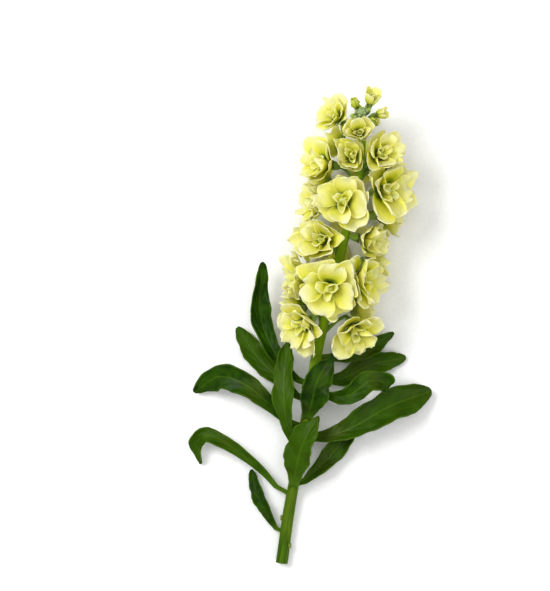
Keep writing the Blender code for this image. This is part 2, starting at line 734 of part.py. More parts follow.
def build():
    for old in list(bpy.data.objects):
        bpy.data.objects.remove(old)
    green = material("stem_green", STEM_GREEN, 0.55)
    leaf_green = material("leaf_green", LEAF_GREEN, 0.45)
    bud_green = material("bud_green", BUD_GREEN, 0.8)
    cream = material("petal_cream", PETAL_CREAM, 0.6)
    young = material("petal_young", PETAL_YOUNG, 0.6)
    grown = [leaf_scar(*scar) for scar in SCARS] + [stalk_and_cup(flower) for flower in FLOWERS]
    stem = joined("stem", [main_stem(), *grown], green)
    smoothed(stem, 40)
    for flower in FLOWERS:
        flower_head(flower, young if flower.name.startswith(YOUNG) else cream)
    bud_cluster(bud_green)
    for leaf in LEAVES:
        leaf_object(leaf, leaf_green)


build()
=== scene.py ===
"""The finish of a cut stem of double-flowered stock that lies on a pale surface.

Sizes and places are in millimetres of the same plan as the solids, and become metres when a piece is made.
"""

import math
from collections import namedtuple

import bmesh
import bpy
import numpy as np
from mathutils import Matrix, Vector


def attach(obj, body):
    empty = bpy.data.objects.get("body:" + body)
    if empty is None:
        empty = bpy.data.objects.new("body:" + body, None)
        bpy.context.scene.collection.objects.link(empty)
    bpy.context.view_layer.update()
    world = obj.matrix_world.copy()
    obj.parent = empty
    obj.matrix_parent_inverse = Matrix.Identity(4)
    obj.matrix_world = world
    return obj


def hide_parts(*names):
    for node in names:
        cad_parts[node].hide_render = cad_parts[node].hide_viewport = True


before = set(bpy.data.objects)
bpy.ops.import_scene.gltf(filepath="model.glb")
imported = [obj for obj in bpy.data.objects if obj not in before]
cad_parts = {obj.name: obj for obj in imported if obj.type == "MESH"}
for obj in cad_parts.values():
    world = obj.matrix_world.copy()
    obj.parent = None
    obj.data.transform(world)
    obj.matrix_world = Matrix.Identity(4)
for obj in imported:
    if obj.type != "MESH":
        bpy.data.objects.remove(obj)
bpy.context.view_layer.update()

MM = 0.001
UP = np.array((0.0, 0.0, 1.0))

# The photograph's frame in pixels, the pixel that is the plan's origin, and a pixel's size in millimetres
PHOTO_SIZE = (550, 591)
PHOTO_ORIGIN = (325, 340)
PIXEL = 0.72

# The middle of the resting footprint, in the plan
FOOTPRINT = np.array((-9.952, 8.208, -0.04))

# Main stem: x, y, z and radius from the cut end to the tip
STEM_POINTS = (
    (-31.0, -164.0, 4.3, 4.3),
    (-25.2, -122.0, 7.0, 4.1),
    (-15.8, -72.0, 13.0, 3.9),
    (-6.5, -14.0, 22.5, 3.7),
    (3.6, 29.0, 30.0, 3.5),
    (13.7, 72.0, 35.0, 3.2),
    (21.6, 101.0, 37.0, 2.8),
    (25.8, 128.0, 38.5, 2.3),
    (27.2, 144.0, 41.5, 2.0),
    (26.8, 152.0, 46.0, 1.8),
    (26.2, 156.0, 52.0, 1.6),
)
STEM_RINGS = 34
STEM_SIDES = 24
STEM_TIP = STEM_POINTS[-1][1]
STEM_UNEVEN = 0.03

# Ribs of the stem: how many, height as a share of its radius, twist in each millimetre, and phase
STEM_RIBS = ((5.0, 0.035, 0.012, 0.0), (11.0, 0.012, 0.0, 1.0))

# Steps of the dished cut end: how far inwards, and how far into the stem. Then where its pith gives way to
# skin, as shares of the radius
CUT_STEPS = ((0.35, 0.0), (0.2, 0.1), (0.7, 0.15), (1.0, 0.2))
PITH_EDGE = (0.84, 0.92)

# Scars of lower leaves: y, angle round the stem, height. The pad of one: sides, radius, underside and top,
# the steps of its face inwards and up, its stretch round and along the stem, and how deep it is set in
SCARS = ((-151.0, 0.4, 1.3), (-131.0, 3.4, 1.6), (-119.0, 5.4, 1.5), (-95.0, 2.0, 1.5))
SCAR_PAD = (16, 2.0, -1.4, 1.0)
SCAR_STEPS = ((0.55, -0.35), (0.4, 0.3))
SCAR_SHAPE = (0.8, 1.1)
SCAR_DEPTH = 1.1

# Flowers: centre of the face, direction it faces, reach of the outer petals, openness, turn
Flower = namedtuple("Flower", "name centre facing reach openness turn")
FLOWERS = [Flower(*row) for row in (
    ("bloom_01", (2.2, 36.7, 57), (-0.1, -0.25, 0.96), 25.9, 1, 26),
    ("bloom_02", (-16.6, 10.8, 43), (-0.62, -0.4, 0.68), 22, 0.86, 5),
    ("bloom_03", (21.6, 5.8, 39), (0.3, -0.62, 0.72), 22, 0.83, 40),
    ("bloom_04", (27.6, 43.2, 47), (0.8, 0, 0.6), 24, 0.9, 54),
    ("bloom_05", (-3.8, 72, 53), (-0.45, 0.1, 0.9), 22.6, 0.78, 15),
    ("bloom_06", (32, 71, 43), (0.86, -0.25, 0.44), 21.5, 0.8, 75),
    ("bloom_07", (12.2, 99.4, 59), (-0.2, 0.12, 0.97), 24.5, 0.95, 35),
    ("bloom_08", (44.5, 107, 50), (0.66, 0.05, 0.74), 25.5, 0.97, 50),
    ("bloom_09", (39.5, 132.5, 57), (0.48, 0.22, 0.85), 21, 0.82, 30),
    ("bloom_10", (-2.5, 127, 46), (-0.8, 0.15, 0.58), 22, 0.88, 10),
    ("bloom_11", (6.8, 160.5, 46.5), (-0.62, 0.45, 0.64), 17.5, 0.8, 65),
    ("bloom_12", (-19.5, 45, 36), (-0.95, 0, 0.3), 22, 0.92, 34),
    ("bloom_13", (-6.5, 99, 40), (-0.95, 0.08, 0.3), 22, 0.86, 55),
    ("bloom_14", (24, 24, 15), (0.82, -0.1, -0.32), 20.5, 0.8, 0),
    ("bloom_15", (-19, 24, 15), (-0.82, -0.2, -0.32), 20.5, 0.8, 45),
    ("bloom_16", (36, 57, 16.5), (0.85, 0.05, -0.32), 20.5, 0.82, 20),
    ("bloom_17", (-10.5, 72, 17), (-0.85, 0.05, -0.32), 20.5, 0.82, 70),
    ("bloom_18", (44, 91, 18), (0.85, 0.05, -0.3), 20.5, 0.82, 35),
    ("bloom_19", (0, 112, 17.5), (-0.8, 0.2, -0.36), 20, 0.8, 15),
    ("bloom_20", (47, 125, 26), (0.85, 0.2, -0.15), 18.5, 0.8, 50),
    ("bloom_21", (10, 143, 24), (-0.75, 0.35, -0.3), 18, 0.78, 30),
    ("opening_01", (23.6, 146.9, 58.5), (-0.05, -0.15, 0.98), 16, 0.72, 46),
    ("opening_02", (32.6, 171.5, 51.5), (0.3, 0.78, 0.55), 13, 0.5, 33),
    ("opening_03", (39, 161.8, 47), (0.9, 0.25, 0.35), 9.5, 0.38, 60),
    ("opening_04", (35.5, 157, 35), (0.5, 0.5, -0.7), 10, 0.25, 5),
    ("young_01", (21.2, 168.6, 53), (-0.35, 0.75, 0.55), 9.5, 0.19, 0),
    ("young_02", (24, 166.5, 36), (-0.1, 0.75, -0.65), 7.5, 0.12, 40),
    ("young_03", (32.6, 155.3, 56.5), (0.45, -0.15, 0.88), 8.8, 0.16, 44),
    ("bloom_22", (19, 131.5, 55), (-0.05, 0.12, 0.99), 19.5, 0.85, 35),
    ("bloom_23", (9, 51, 9), (0.05, -0.1, -0.99), 20, 0.8, 10),
    ("bloom_24", (20.5, 92, 11), (0.1, 0, -0.99), 19.5, 0.8, 40),
    ("bloom_25", (29, 129, 14.5), (0.1, 0.3, -0.95), 18, 0.78, 25),
)]

# Whorls of petals. A pair is for a shut and a fully open flower: start and end are degrees from its axis,
# and cup is radians across. Ring is the whorl's own number, inset how far inside its neighbours it keeps,
# lean how far one edge rides over the next petal, curl how far the tip turns on, and heart how yellow-green
# it is.
Whorl = namedtuple(
    "Whorl", "ring length width start end cup ruffle base rise turn count inset lean curl heart"
)
OPEN_WHORLS = (
    Whorl(0, 21.5, 28, (30, 43), (-30, 102), (1.2, 0.45), 1.9, 2.4, 0.6, 0, 4, 0, 0.1, 14, 0),
    Whorl(1, 18, 25, (22, 27), (-36, 70), (1.2, 0.6), 1.8, 2.3, 1.5, 45, 4, 1.2, 0.12, 22, 0.06),
    Whorl(2, 11.5, 11.5, (8, 12), (-28, 30), (0.6, 1.5), 0.9, 1.9, 2.3, 0, 3, 2.2, 0.1, 26, 0.3),
    Whorl(5, 9.4, 10.5, (20, 60), (-40, -72), (1.2, 1.1), 0.4, 0.9, 2.6, 20, 4, 3.2, 0.16, -10, 0.55),
)
SHUT_WHORLS = (
    Whorl(0, 22, 24, (38, 40), (-47, 60), (0.6, 0.45), 1.2, 2.4, 0.6, 0, 4, 0, 0.1, 8, 0.15),
    Whorl(1, 15, 16, (10, 14), (-24, 16), (0.6, 0.8), 0.7, 1.9, 1.5, 45, 4, 1, 0.1, 6, 0.35),
    Whorl(3, 10, 11, (8, 10), (-24, 4), (0.9, 1.3), 0.4, 1.2, 2.2, 15, 3, 1.8, 0.06, 6, 0.6),
)
YOUNG_WHORLS = (
    Whorl(0, 22, 24, (38, 40), (-47, 60), (0.6, 0.45), 0.8, 2.4, 0.6, 0, 4, 0, 0.16, 0, 0.8),
    Whorl(1, 15, 15, (10, 14), (-26, 10), (0.7, 0.6), 0.4, 1.5, 1.5, 45, 3, 0.8, 0.1, 0, 1),
)
HEART_RING = 5

# Reach of a flower with petals as long as its whorls say, and the height of its face above its mouth
FULL_REACH = 21.0
FACE_HEIGHT = 8.0

# Openness below which a flower has the whorls of a bud, and of a young one
BUD_BELOW = 0.55
YOUNG_BELOW = 0.2

# Pairs for a shut and a fully open flower: size of its petals as a share of their full size, how thick they
# are, where along them they start to give way, and the radius it needs as a share of its reach
PETAL_SIZE = (0.72, 1.0)
PETAL_THICKNESS = (0.154, 0.22)
PETAL_HELD = (0.45, 0.05)
CELL_SHARE = (0.6, 1.0)

# Steps along a petal and past its tip at which its curve is worked out, and where along it the tip turns on
PETAL_STEPS = np.linspace(0.0, 1.2, 121)
CURL_STRETCH = (0.65, 1.1)

# How far over the edge of its own sector a petal may reach
PETAL_OVERLAP = 1.2

# Petals wider than this are of the broad pattern
BROAD_FROM = 16.5

# How much closer together the rows of a petal or a leaf are near its tip
ROW_EASE = 1.25

# How near the flower's axis a petal may come, in the heart and in the other whorls
HEART_CLEAR = 0.12
PETAL_CLEAR = 0.5

# How far petals vary: shares of length, width, cup and curl, and degrees of their end and turn
LENGTH_VARIES = 0.09
WIDTH_VARIES = 0.08
CUP_VARIES = 0.25
CURL_VARIES = 1.1
END_VARIES = 14
TURN_VARIES = 7.0

# Ripples of a petal: height as a share of its whorl's ruffle, radians across and along it, how far a chance
# of its own shifts them, and which one. Then how much an edge may roll
RIPPLES = {
    "wave": (1.0, 2.6, 5.0, 3.1, 4),
    "frill": (0.5, 5.0, 7.5, 6.0, 6),
    "fine frill": (0.2, 10.0, 9.0, 6.0, 2),
    "tip": (0.7, 5.0, 0.0, 6.0, 9),
    "pleats": (0.14, 8.0, 0.0, 4.0, 7),
}
ROLL = 1.5

# How far a petal keeps from the plane between two flowers, from the stem's axis and from the surface, how far
# ahead of each it starts to give way, and how far past the stem's tip it stops to give way to the stem
CELL_EASE = 7.0
CELL_GAP = 0.45
STEM_CLEAR = 7.5
STEM_EASE = 4.0
FLOOR_CLEAR = 0.35
FLOOR_EASE = 5.0
TIP_FADE = 8.0

# Green cup of each flower: height and radius of its base, then up its outside and down its inside
CUP_BASE = (-9.0, 1.4)
CUP_RINGS = ((-6.6, 2.3), (-5.0, 3.0), (-2.4, 3.25), (0.0, 3.7), (-0.3, 3.15), (-2.6, 2.5), (-5.0, 2.0))
CUP_SIDES = 16

# The smallest flower scale that a cup follows, and the power it follows it with
SMALLEST_CUP = 0.46
CUP_POWER = 0.6

# The cup's rim is above this, and goes so far up and out, from a sepal's tip to the gap beside it
CUP_RIM = -0.6
SEPAL_EDGE = ((1.3, 0.25), (0.2, 0.05), (-1.9, -0.45))

# Crease between two sepals: its lowest and highest points, the radius that it is outside of, and its depth
CUP_CREASE = (-7.0, -2.3, 2.2, 0.35)

# Stalks of the flowers: radius, radii along one as shares of that, how far down the stem one starts, how far
# it runs straight up to its cup and into it, and how far below the stem's tip the highest one starts
STALK_SIDES = 12
STALK_RADIUS = 1.15
STALK_RADII = (1.7, 1.25, 1.0, 0.95, 1.0, 1.15)
STALK_DROP = 13.0
STALK_STRAIGHT = 5.0
STALK_INTO_CUP = 0.5
STALK_BELOW_TIP = 4.0

# The core that buds stand on at the tip of the stem, with radii at places along it
BUD_CORE_LENGTH = 9.5
BUD_CORE = ((-0.1, 1.8), (0.3, 3.2), (0.6, 2.8), (0.95, 1.3))

# The buds. A pair is for the lowest and the highest, roots are places along the core, the profile is the
# width that is kept free along a bud, and the rings are heights and radii of one that is 1 long and 1 wide.
# A crease is between two heights and leaves a share of the width, and stretch makes up for the rounding off
BUD_COUNT = 26
BUD_ROOTS = (0.1, 0.92)
BUD_LENGTH = (10.0, 4.0)
BUD_WIDTH = (5.0, 3.2)
BUD_TILT = (84.0, 8.0)
BUD_TILT_VARIES = 5.0
BUD_SIDES = 12
BUD_PROFILE = ((0.0, 0.36), (0.4, 0.42), (0.7, 1.0), (1.0, 0.4))
BUD_CLEAR = 0.5
BUD_RINGS = ((0.3, 0.18), (0.4, 0.3), (0.54, 0.46), (0.7, 0.5), (0.85, 0.42), (0.95, 0.26), (1.0, 0.1))
BUD_CREASE = (0.45, 0.97, 0.84)
BUD_STRETCH = 1.04

# Hairs on a bud: how many, between which heights, how much of its radius is below them, and their size
HAIRS_PER_BUD = 16
HAIR_HEIGHTS = (0.45, 0.98)
HAIR_ROOTS = 0.93
HAIR_LENGTH = 0.55
HAIR_VARIES = 0.2
HAIR_GIRTH = 0.6
GOLDEN_TURN = math.radians(137.5)

# Leaves: midrib points from the stem outwards, width, roll in degrees at base and tip, height of its waves
# and where they start, where along it a leaf is widest, and how pointed its tip is
Leaf = namedtuple("Leaf", "name midrib width roll wave phase widest point")
LEAVES = [Leaf(*row) for row in (
    ("leaf_01", ((-11.5, -71.5, 14.5), (3.6, -70, 19), (21.6, -63, 21), (46.8, -49, 17), (72, -40, 9)),
     25, (25, 0), 1.6, 0.3, 0.82, 0.42),
    ("leaf_02", ((-2, -13, 21.5), (14, -12, 15), (32, -6, 10), (50, 4, 7)),
     15, (10, -15), 2, 1.2, 0.6, 0.8),
    ("leaf_03", ((-6.5, -38, 20.5), (7, -41, 27), (19, -39, 32), (31, -30, 34), (42, -31, 29), (45, -37, 23)),
     17, (-35, 35), 3, 2, 0.55, 0.6),
    ("leaf_04", ((-13.5, -60, 19), (-9.4, -45, 27), (-5, -28, 32), (5, -12, 32)),
     23, (0, -20), 2.4, 0, 0.52, 0.85),
    ("leaf_05", ((-22.5, -110, 13), (-20.5, -92, 22), (-15.5, -74, 29), (-5.5, -57, 31)),
     23, (5, 35), 2.4, 2.6, 0.56, 0.8),
    ("leaf_06", ((-21.3, -80, 14), (-28, -57, 27), (-29.5, -30, 25), (-27, -4, 19)),
     17, (30, 10), 2.2, 0.8, 0.6, 0.6),
    ("leaf_07", ((-14.3, -34, 20), (-34, -14, 17), (-47, 18, 17), (-45, 54, 24)),
     16, (0, -25), 2, 1.7, 0.65, 0.6),
    ("leaf_08", ((-28.8, -116, 8), (-45, -96, 13), (-65, -80, 16), (-84, -70, 15), (-93, -76, 10),
                 (-91, -90, 4)), 12, (15, -30), 2, 0.5, 0.65, 0.6),
    ("leaf_09", ((-20.5, -66, 15), (-38, -49, 22), (-57, -33, 24), (-76, -27, 17), (-93, -37, 7)),
     20, (-20, 15), 2.2, 2.2, 0.65, 0.55),
    ("leaf_10", ((-16.7, -106.3, 9), (-8, -98, 10), (5, -85, 9), (15, -71, 8), (21, -56, 8)),
     16, (15, -5), 2.2, 1.1, 0.6, 0.7),
    ("leaf_11", ((-33, -142, 6), (-41, -129, 8), (-49, -113, 7), (-53, -97, 4)),
     10, (0, 10), 1, 0, 0.6, 0.6),
    ("leaf_12", ((-16, -45, 14.5), (-32, -30, 8), (-49, -13, 4), (-62, 6, 2.5)),
     17, (0, 0), 1, 2.9, 0.65, 0.5),
    ("leaf_13", ((-5.5, -27, 17.5), (12, -29, 9), (34, -19, 4.5), (57, -14, 3)),
     17, (0, 0), 1, 0.9, 0.65, 0.5),
)]

# Columns and rows of a leaf, its fold along the midrib in radians, thickness, and width at the stem as a
# share of the widest
LEAF_GRID = (20, 72)
LEAF_FOLD = 0.75
LEAF_THICKNESS = 0.9
LEAF_STALK_SHARE = 0.27

# Waves along a leaf: how many, how far its phase shifts them, and how far they differ from side to side
LEAF_WAVES = (2.6, 1.0, 1.3)
LEAF_SWAY = (4.3, 3.0, 1.9)
LEAF_NOTCHES = (9.7, 5.0, 0.8)
LEAF_FRILL = (5.9, 2.0, 2.2)

# Groove over a leaf's midrib: width as a share of half the leaf, and depth. Swellings between its side
# veins: how many, slant and height. How far its foot is drawn in to the stem, and over how much of it
LEAF_GROOVE = (0.085, 0.5)
LEAF_QUILT = (7.0, 1.9, 0.22)
LEAF_FOOT_IN = (0.9, 0.09)


# Measures


def eased_step(value, low, high):
    """0 below low, 1 above high, and smooth between them."""
    share = np.clip((np.asarray(value, float) - low) / (high - low), 0.0, 1.0)
    return share * share * (3.0 - 2.0 * share)


def mixed(pair, share):
    return pair[0] + (pair[1] - pair[0]) * share


def chance(*keys):
    """A number from -1 to 1 that depends only on its whole-number keys."""
    mixed_keys = sum(key * weight for key, weight in zip(keys, (12.9898, 78.233, 37.719)))
    value = math.sin(mixed_keys + 4.581) * 43758.5453
    return 2.0 * (value - math.floor(value)) - 1.0


def unit(vector):
    vector = np.asarray(vector, float)
    return vector / np.linalg.norm(vector, axis=-1, keepdims=True)


def curve_through(points, places):
    """Points of a smooth curve through the given ones, at places from 0 to 1 along it."""
    points = np.asarray(points, float)
    padded = np.vstack((2 * points[0] - points[1], points, 2 * points[-1] - points[-2]))
    place = np.asarray(places, float) * (len(points) - 1.0)
    index = np.minimum(place.astype(int), len(points) - 2)
    t = (place - index)[:, None]
    a, b, c, d = (padded[index + k] for k in range(4))
    return 0.5 * (2 * b + (c - a) * t + (2 * a - 5 * b + 4 * c - d) * t**2 + (3 * b - a - 3 * c + d) * t**3)


# Close enough together for stem_at to read between
STEM_LINE = curve_through(STEM_POINTS, np.linspace(0.0, 1.0, 160))


def stem_at(y):
    """x, y, z and radius of the main stem at this y."""
    columns = [np.interp(y, STEM_LINE[:, 1], STEM_LINE[:, k]) for k in range(4)]
    return np.stack(columns, axis=-1)


def eased_rows(share):
    """Where a row of points lies along a petal or leaf, closer together near the tip."""
    return 1.0 - (1.0 - share) ** ROW_EASE


def directions(line):
    return unit(np.gradient(line, axis=0))


def axes_along(aim, other=(0.31, 0.22, 0.92)):
    """Axes of a thing that stands along aim, as rows. The first is square to the other direction too."""
    aim = unit(aim)
    side = unit(np.cross(aim, other))
    return np.stack((side, np.cross(aim, side), aim))


def in_metres(points):
    return (np.asarray(points, float) - FOOTPRINT) * MM


# Handwork


def fresh():
    """Puts down whatever is in hand: object mode, and nothing selected."""
    if bpy.context.object and bpy.context.object.mode != "OBJECT":
        bpy.ops.object.mode_set(mode="OBJECT")
    bpy.ops.object.select_all(action="DESELECT")


def in_hand(piece):
    fresh()
    piece.select_set(True)
    bpy.context.view_layer.objects.active = piece
    return piece


def taken_up(name):
    """The primitive that was just added, under its own name."""
    piece = bpy.context.object
    piece.name = name
    piece.data.name = name
    return piece


def started(name, add, **settings):
    """A new mesh, by one of Blender's own add calls, with its place made part of it."""
    fresh()
    add(**settings)
    piece = taken_up(name)
    bpy.ops.object.transform_apply(location=True)
    return piece


def edit_points(piece):
    in_hand(piece)
    bpy.ops.object.mode_set(mode="EDIT")
    bpy.ops.mesh.select_mode(type="VERT")


def pick(piece, test):
    """Selects the points of a piece in edit mode whose place passes the test."""
    points = bmesh.from_edit_mesh(piece.data)
    for corner in points.verts:
        corner.select_set(bool(test(corner.co)))
    points.select_flush_mode()
    bmesh.update_edit_mesh(piece.data)


def push(x, y, z):
    bpy.ops.transform.translate(value=(x, y, z))


def stretch(x, y):
    """Widens or narrows the picked points about the z axis."""
    bpy.ops.transform.resize(value=(x, y, 1.0), center_override=(0.0, 0.0, 0.0))


def stepped_in(steps, way, scale=1.0):
    """Insets the picked face in steps: how far inwards, and how far it then moves along the way."""
    for inwards, ahead in steps:
        bpy.ops.mesh.inset(thickness=inwards * scale)
        push(*(way * ahead * scale))


def done_editing():
    bpy.ops.object.mode_set(mode="OBJECT")


def places_of(piece):
    """The points of a mesh as an array."""
    flat = np.empty(len(piece.data.vertices) * 3)
    piece.data.vertices.foreach_get("co", flat)
    return flat.reshape(-1, 3)


def lay_out(piece, points):
    piece.data.vertices.foreach_set("co", np.asarray(points, float).ravel())
    piece.data.update()


def marked(piece, name, value):
    """Gives the points of a piece a mark, one for all or one each, which its material reads."""
    mark = piece.data.attributes.new(name, "FLOAT", "POINT")
    mark.data.foreach_set("value", np.full(len(piece.data.vertices), value, np.float32))


def copied(pattern, name):
    """A copy with its own mesh."""
    twin = pattern.copy()
    twin.data = pattern.data.copy()
    twin.name = name
    bpy.context.scene.collection.objects.link(twin)
    return twin


def joined(pieces, name):
    fresh()
    for piece in pieces:
        piece.select_set(True)
    bpy.context.view_layer.objects.active = pieces[0]
    bpy.ops.object.join()
    return taken_up(name)


def modified(piece, kind, **settings):
    in_hand(piece)
    change = piece.modifiers.new("change", kind)
    for name, setting in settings.items():
        setattr(change, name, setting)
    bpy.ops.object.modifier_apply(modifier=change.name)


def thickened(piece, thickness):
    """A wall round a sheet, half on each side, with the piece's second finish on its other side."""
    modified(piece, "SOLIDIFY", thickness=thickness, offset=0.0, material_offset=1, use_even_offset=False)


def rounded_off(piece):
    modified(piece, "SUBSURF", levels=1, render_levels=1)


def finished(piece, finishes, slot, *nodes):
    """Gives a piece its finish, and sets it in the frame in place of its solids."""
    piece.data.materials.clear()
    for finish in finishes:
        piece.data.materials.append(finish)
    piece.data.shade_smooth()
    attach(piece, "root")
    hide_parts(*nodes)
    return piece


# Patterns that are modelled once


def sheet_pattern(name, columns, rows):
    """A flat sheet 1 wide and 1 long that starts at the origin, with its own map, front side up."""
    return started(
        name, bpy.ops.mesh.primitive_grid_add, x_subdivisions=columns, y_subdivisions=rows,
        size=1.0, location=(0.0, 0.5, 0.0), calc_uvs=True,
    )


def petal_pattern(name, columns, rows, claw, widest, tip, notch):
    """A flat petal: narrow at its claw, broad and blunt at its tip, with a shallow notch there."""
    petal = sheet_pattern(name, columns, rows)
    edit_points(petal)
    for row in range(rows + 1):
        y = row / rows
        along = eased_rows(y)
        past = min(max((along - widest) / tip, 0.0), 0.97)
        width = claw + (1.0 - claw) * float(eased_step(along, 0.0, widest)) * math.sqrt(1.0 - past**2)
        pick(petal, lambda point: abs(point.y - y) < 0.2 / rows)
        stretch(width, 1.0)
    for ahead, reach in ((0.09, 0.42), (-notch, 0.13)):
        pick(petal, lambda point: abs(point.x) < 0.01 and point.y > 0.99)
        bpy.ops.transform.translate(
            value=(0.0, ahead, 0.0), use_proportional_edit=True,
            proportional_size=reach, proportional_edit_falloff="SMOOTH",
        )
    bpy.ops.mesh.select_all(action="SELECT")
    bpy.ops.mesh.flip_normals()
    done_editing()
    return petal


def shares_of(pattern):
    """Where each point of a pattern is on its map: -1 to 1 from edge to edge, and 0 to 1 along."""
    mesh = pattern.data
    corners = np.empty(len(mesh.loops), int)
    mesh.loops.foreach_get("vertex_index", corners)
    flat = np.empty(len(mesh.loops) * 2)
    mesh.uv_layers[0].data.foreach_get("uv", flat)
    shares = np.zeros((len(mesh.vertices), 2))
    shares[corners] = flat.reshape(-1, 2)
    return 2.0 * shares[:, 0] - 1.0, shares[:, 1]


def rod(name, sides, radius, low, high):
    """A short rod round the z axis, which a pattern starts from."""
    return started(
        name, bpy.ops.mesh.primitive_cylinder_add, vertices=sides, radius=radius,
        depth=high - low, location=(0.0, 0.0, (low + high) / 2),
    )


def drawn_out(level, radius, rings):
    """Extrudes the picked end of a rod through rings, each a height and a radius."""
    for height, girth in rings:
        bpy.ops.mesh.extrude_region_move(TRANSFORM_OT_translate={"value": (0.0, 0.0, height - level)})
        stretch(girth / radius, girth / radius)
        level, radius = height, girth


def ways(sides, step=1):
    """The directions of a rod's sides, each with its number."""
    for k in range(0, sides, step):
        turn = 2.0 * math.pi * k / sides
        yield k, Vector((math.cos(turn), math.sin(turn)))


def lies_towards(point, way, past):
    """Whether a point lies this way from the z axis, and past this distance."""
    flat = point.to_2d()
    return flat.length > past and flat.normalized().dot(way) > 0.99


def cup_pattern():
    """The green cup of four sepals, at its own size with its mouth at the origin."""
    foot, radius = CUP_BASE
    level = foot + 1.0
    cup = rod("cup_pattern", CUP_SIDES, radius, foot, level)
    edit_points(cup)
    pick(cup, lambda point: point.z > level - 0.01)
    drawn_out(level, radius, CUP_RINGS)
    for k, way in ways(CUP_SIDES):
        off = min(k % 4, 4 - k % 4)
        climb, spread = SEPAL_EDGE[off]
        pick(cup, lambda point: point.z > CUP_RIM and lies_towards(point, way, 0.5))
        push(way.x * spread, way.y * spread, climb)
        if off == 2:
            low, high, girth, depth = CUP_CREASE
            pick(cup, lambda point: low < point.z < high and lies_towards(point, way, girth))
            push(-way.x * depth, -way.y * depth, 0.0)
    bpy.ops.mesh.select_all(action="SELECT")
    bpy.ops.mesh.normals_make_consistent(inside=False)
    done_editing()
    rounded_off(cup)
    return cup


def bud_pattern():
    """A shut bud of four sepals on its stalk, 1 long and 1 wide, that stands on the origin."""
    level, radius = 0.1, BUD_RINGS[0][1]
    bud = rod("bud_pattern", BUD_SIDES, radius, 0.0, level)
    edit_points(bud)
    pick(bud, lambda point: point.z > level - 0.01)
    drawn_out(level, radius, BUD_RINGS)
    low, high, left = BUD_CREASE
    for _, way in ways(BUD_SIDES, 3):
        pick(bud, lambda point: low < point.z < high and lies_towards(point, way, 0.1))
        stretch(left, left)
    done_editing()
    rounded_off(bud)
    return bud


def hair_pattern():
    """One short tapered hair, 1 long."""
    hair = started(
        "hair_pattern", bpy.ops.mesh.primitive_cone_add, vertices=3, radius1=0.1, radius2=0.0,
        depth=1.0, location=(0.0, 0.0, 0.5),
    )
    edit_points(hair)
    pick(hair, lambda point: point.z > 0.9)
    push(0.3, 0.0, 0.0)
    done_editing()
    return hair


# Flowers


def flower_axes(flower):
    """Side, top and facing directions of a flower, as rows."""
    return axes_along(flower.facing, (0.0, -1.0, 0.0))


def flower_scale(flower):
    return flower.reach / FULL_REACH


def flower_mouth(flower):
    """Where the petals leave the green cup."""
    return flower.centre - unit(flower.facing) * FACE_HEIGHT * flower_scale(flower)


def cup_scale(flower):
    return max(SMALLEST_CUP, flower_scale(flower)) ** CUP_POWER


def cup_foot(flower):
    """Where the stalk joins the green cup."""
    return placed(flower, (0.0, 0.0, CUP_BASE[0] * cup_scale(flower)))


def placed(flower, points):
    """Points of a flower's own frame, in the plan."""
    return flower_mouth(flower) + points @ flower_axes(flower)


def eased(distance, start, limit):
    """A signed distance that is left alone up to start, and never passes limit."""
    over = np.maximum(distance - start, 0.0)
    room = limit - start
    return np.where(distance > start, start + room * (1.0 - np.exp(-over / room)), distance)


def cell_radius(flower):
    return flower.reach * mixed(CELL_SHARE, flower.openness)


def neighbour_planes(flower):
    """The planes that part a flower from others: direction, distance from the origin, and how far
    in front of each the petals start to give way."""
    own = cell_radius(flower)
    planes = []
    for other in FLOWERS:
        gap = np.subtract(other.centre, flower.centre)
        distance = np.linalg.norm(gap)
        theirs = cell_radius(other)
        if other is flower or distance > own + theirs:
            continue
        share = (distance**2 + own**2 - theirs**2) / (2 * distance)
        direction = gap / distance
        ease = min(CELL_EASE, max(0.7 * share, CELL_GAP + 1.0))
        planes.append((direction, flower.centre @ direction + share, ease))
    return planes


def kept_clear(flower, points, weight, inset):
    """Points pressed back to the flower's own side of its neighbours, off the stem and the surface."""
    moved = points.copy()
    for direction, level, ease in neighbour_planes(flower):
        distance = moved @ direction - level
        pressed = eased(distance, -ease - inset, -CELL_GAP - inset)
        moved += np.multiply.outer(pressed - distance, direction)
    axis = stem_at(moved[..., 1])[..., :3]
    spoke = moved - axis
    spoke[..., 1] = 0.0
    reach = np.maximum(np.linalg.norm(spoke, axis=-1), 1e-6)
    wanted = -eased(-reach, -STEM_CLEAR - STEM_EASE - inset, -STEM_CLEAR - inset)
    before_tip = 1.0 - eased_step(moved[..., 1], STEM_TIP, STEM_TIP + TIP_FADE)
    moved += spoke * (before_tip * (wanted - reach) / reach)[..., None]
    moved[..., 2] = -eased(-moved[..., 2], -FLOOR_CLEAR - FLOOR_EASE - inset, -FLOOR_CLEAR - inset)
    return points + (moved - points) * weight[..., None]


def petal_curve(flower, whorl, length, vary, t):
    """How far out and how high a petal runs to the places t along it, and its angle from the axis there."""
    openness = flower.openness
    start = math.radians(mixed(whorl.start, openness))
    end = math.radians(mixed(whorl.end, openness) + END_VARIES * openness * vary[2])
    curl = math.radians(whorl.curl * openness * (1.0 + CURL_VARIES * vary[5]))
    steps = PETAL_STEPS
    turning = start + (end - start) * steps + curl * eased_step(steps, *CURL_STRETCH)
    middle = (turning[1:] + turning[:-1]) / 2
    ahead = length * (steps[1] - steps[0])
    run = np.concatenate(((0.0,), np.cumsum(np.sin(middle)) * ahead))
    climb = np.concatenate(((0.0,), np.cumsum(np.cos(middle)) * ahead))
    return np.interp(t, steps, run), np.interp(t, steps, climb), np.interp(t, steps, turning)


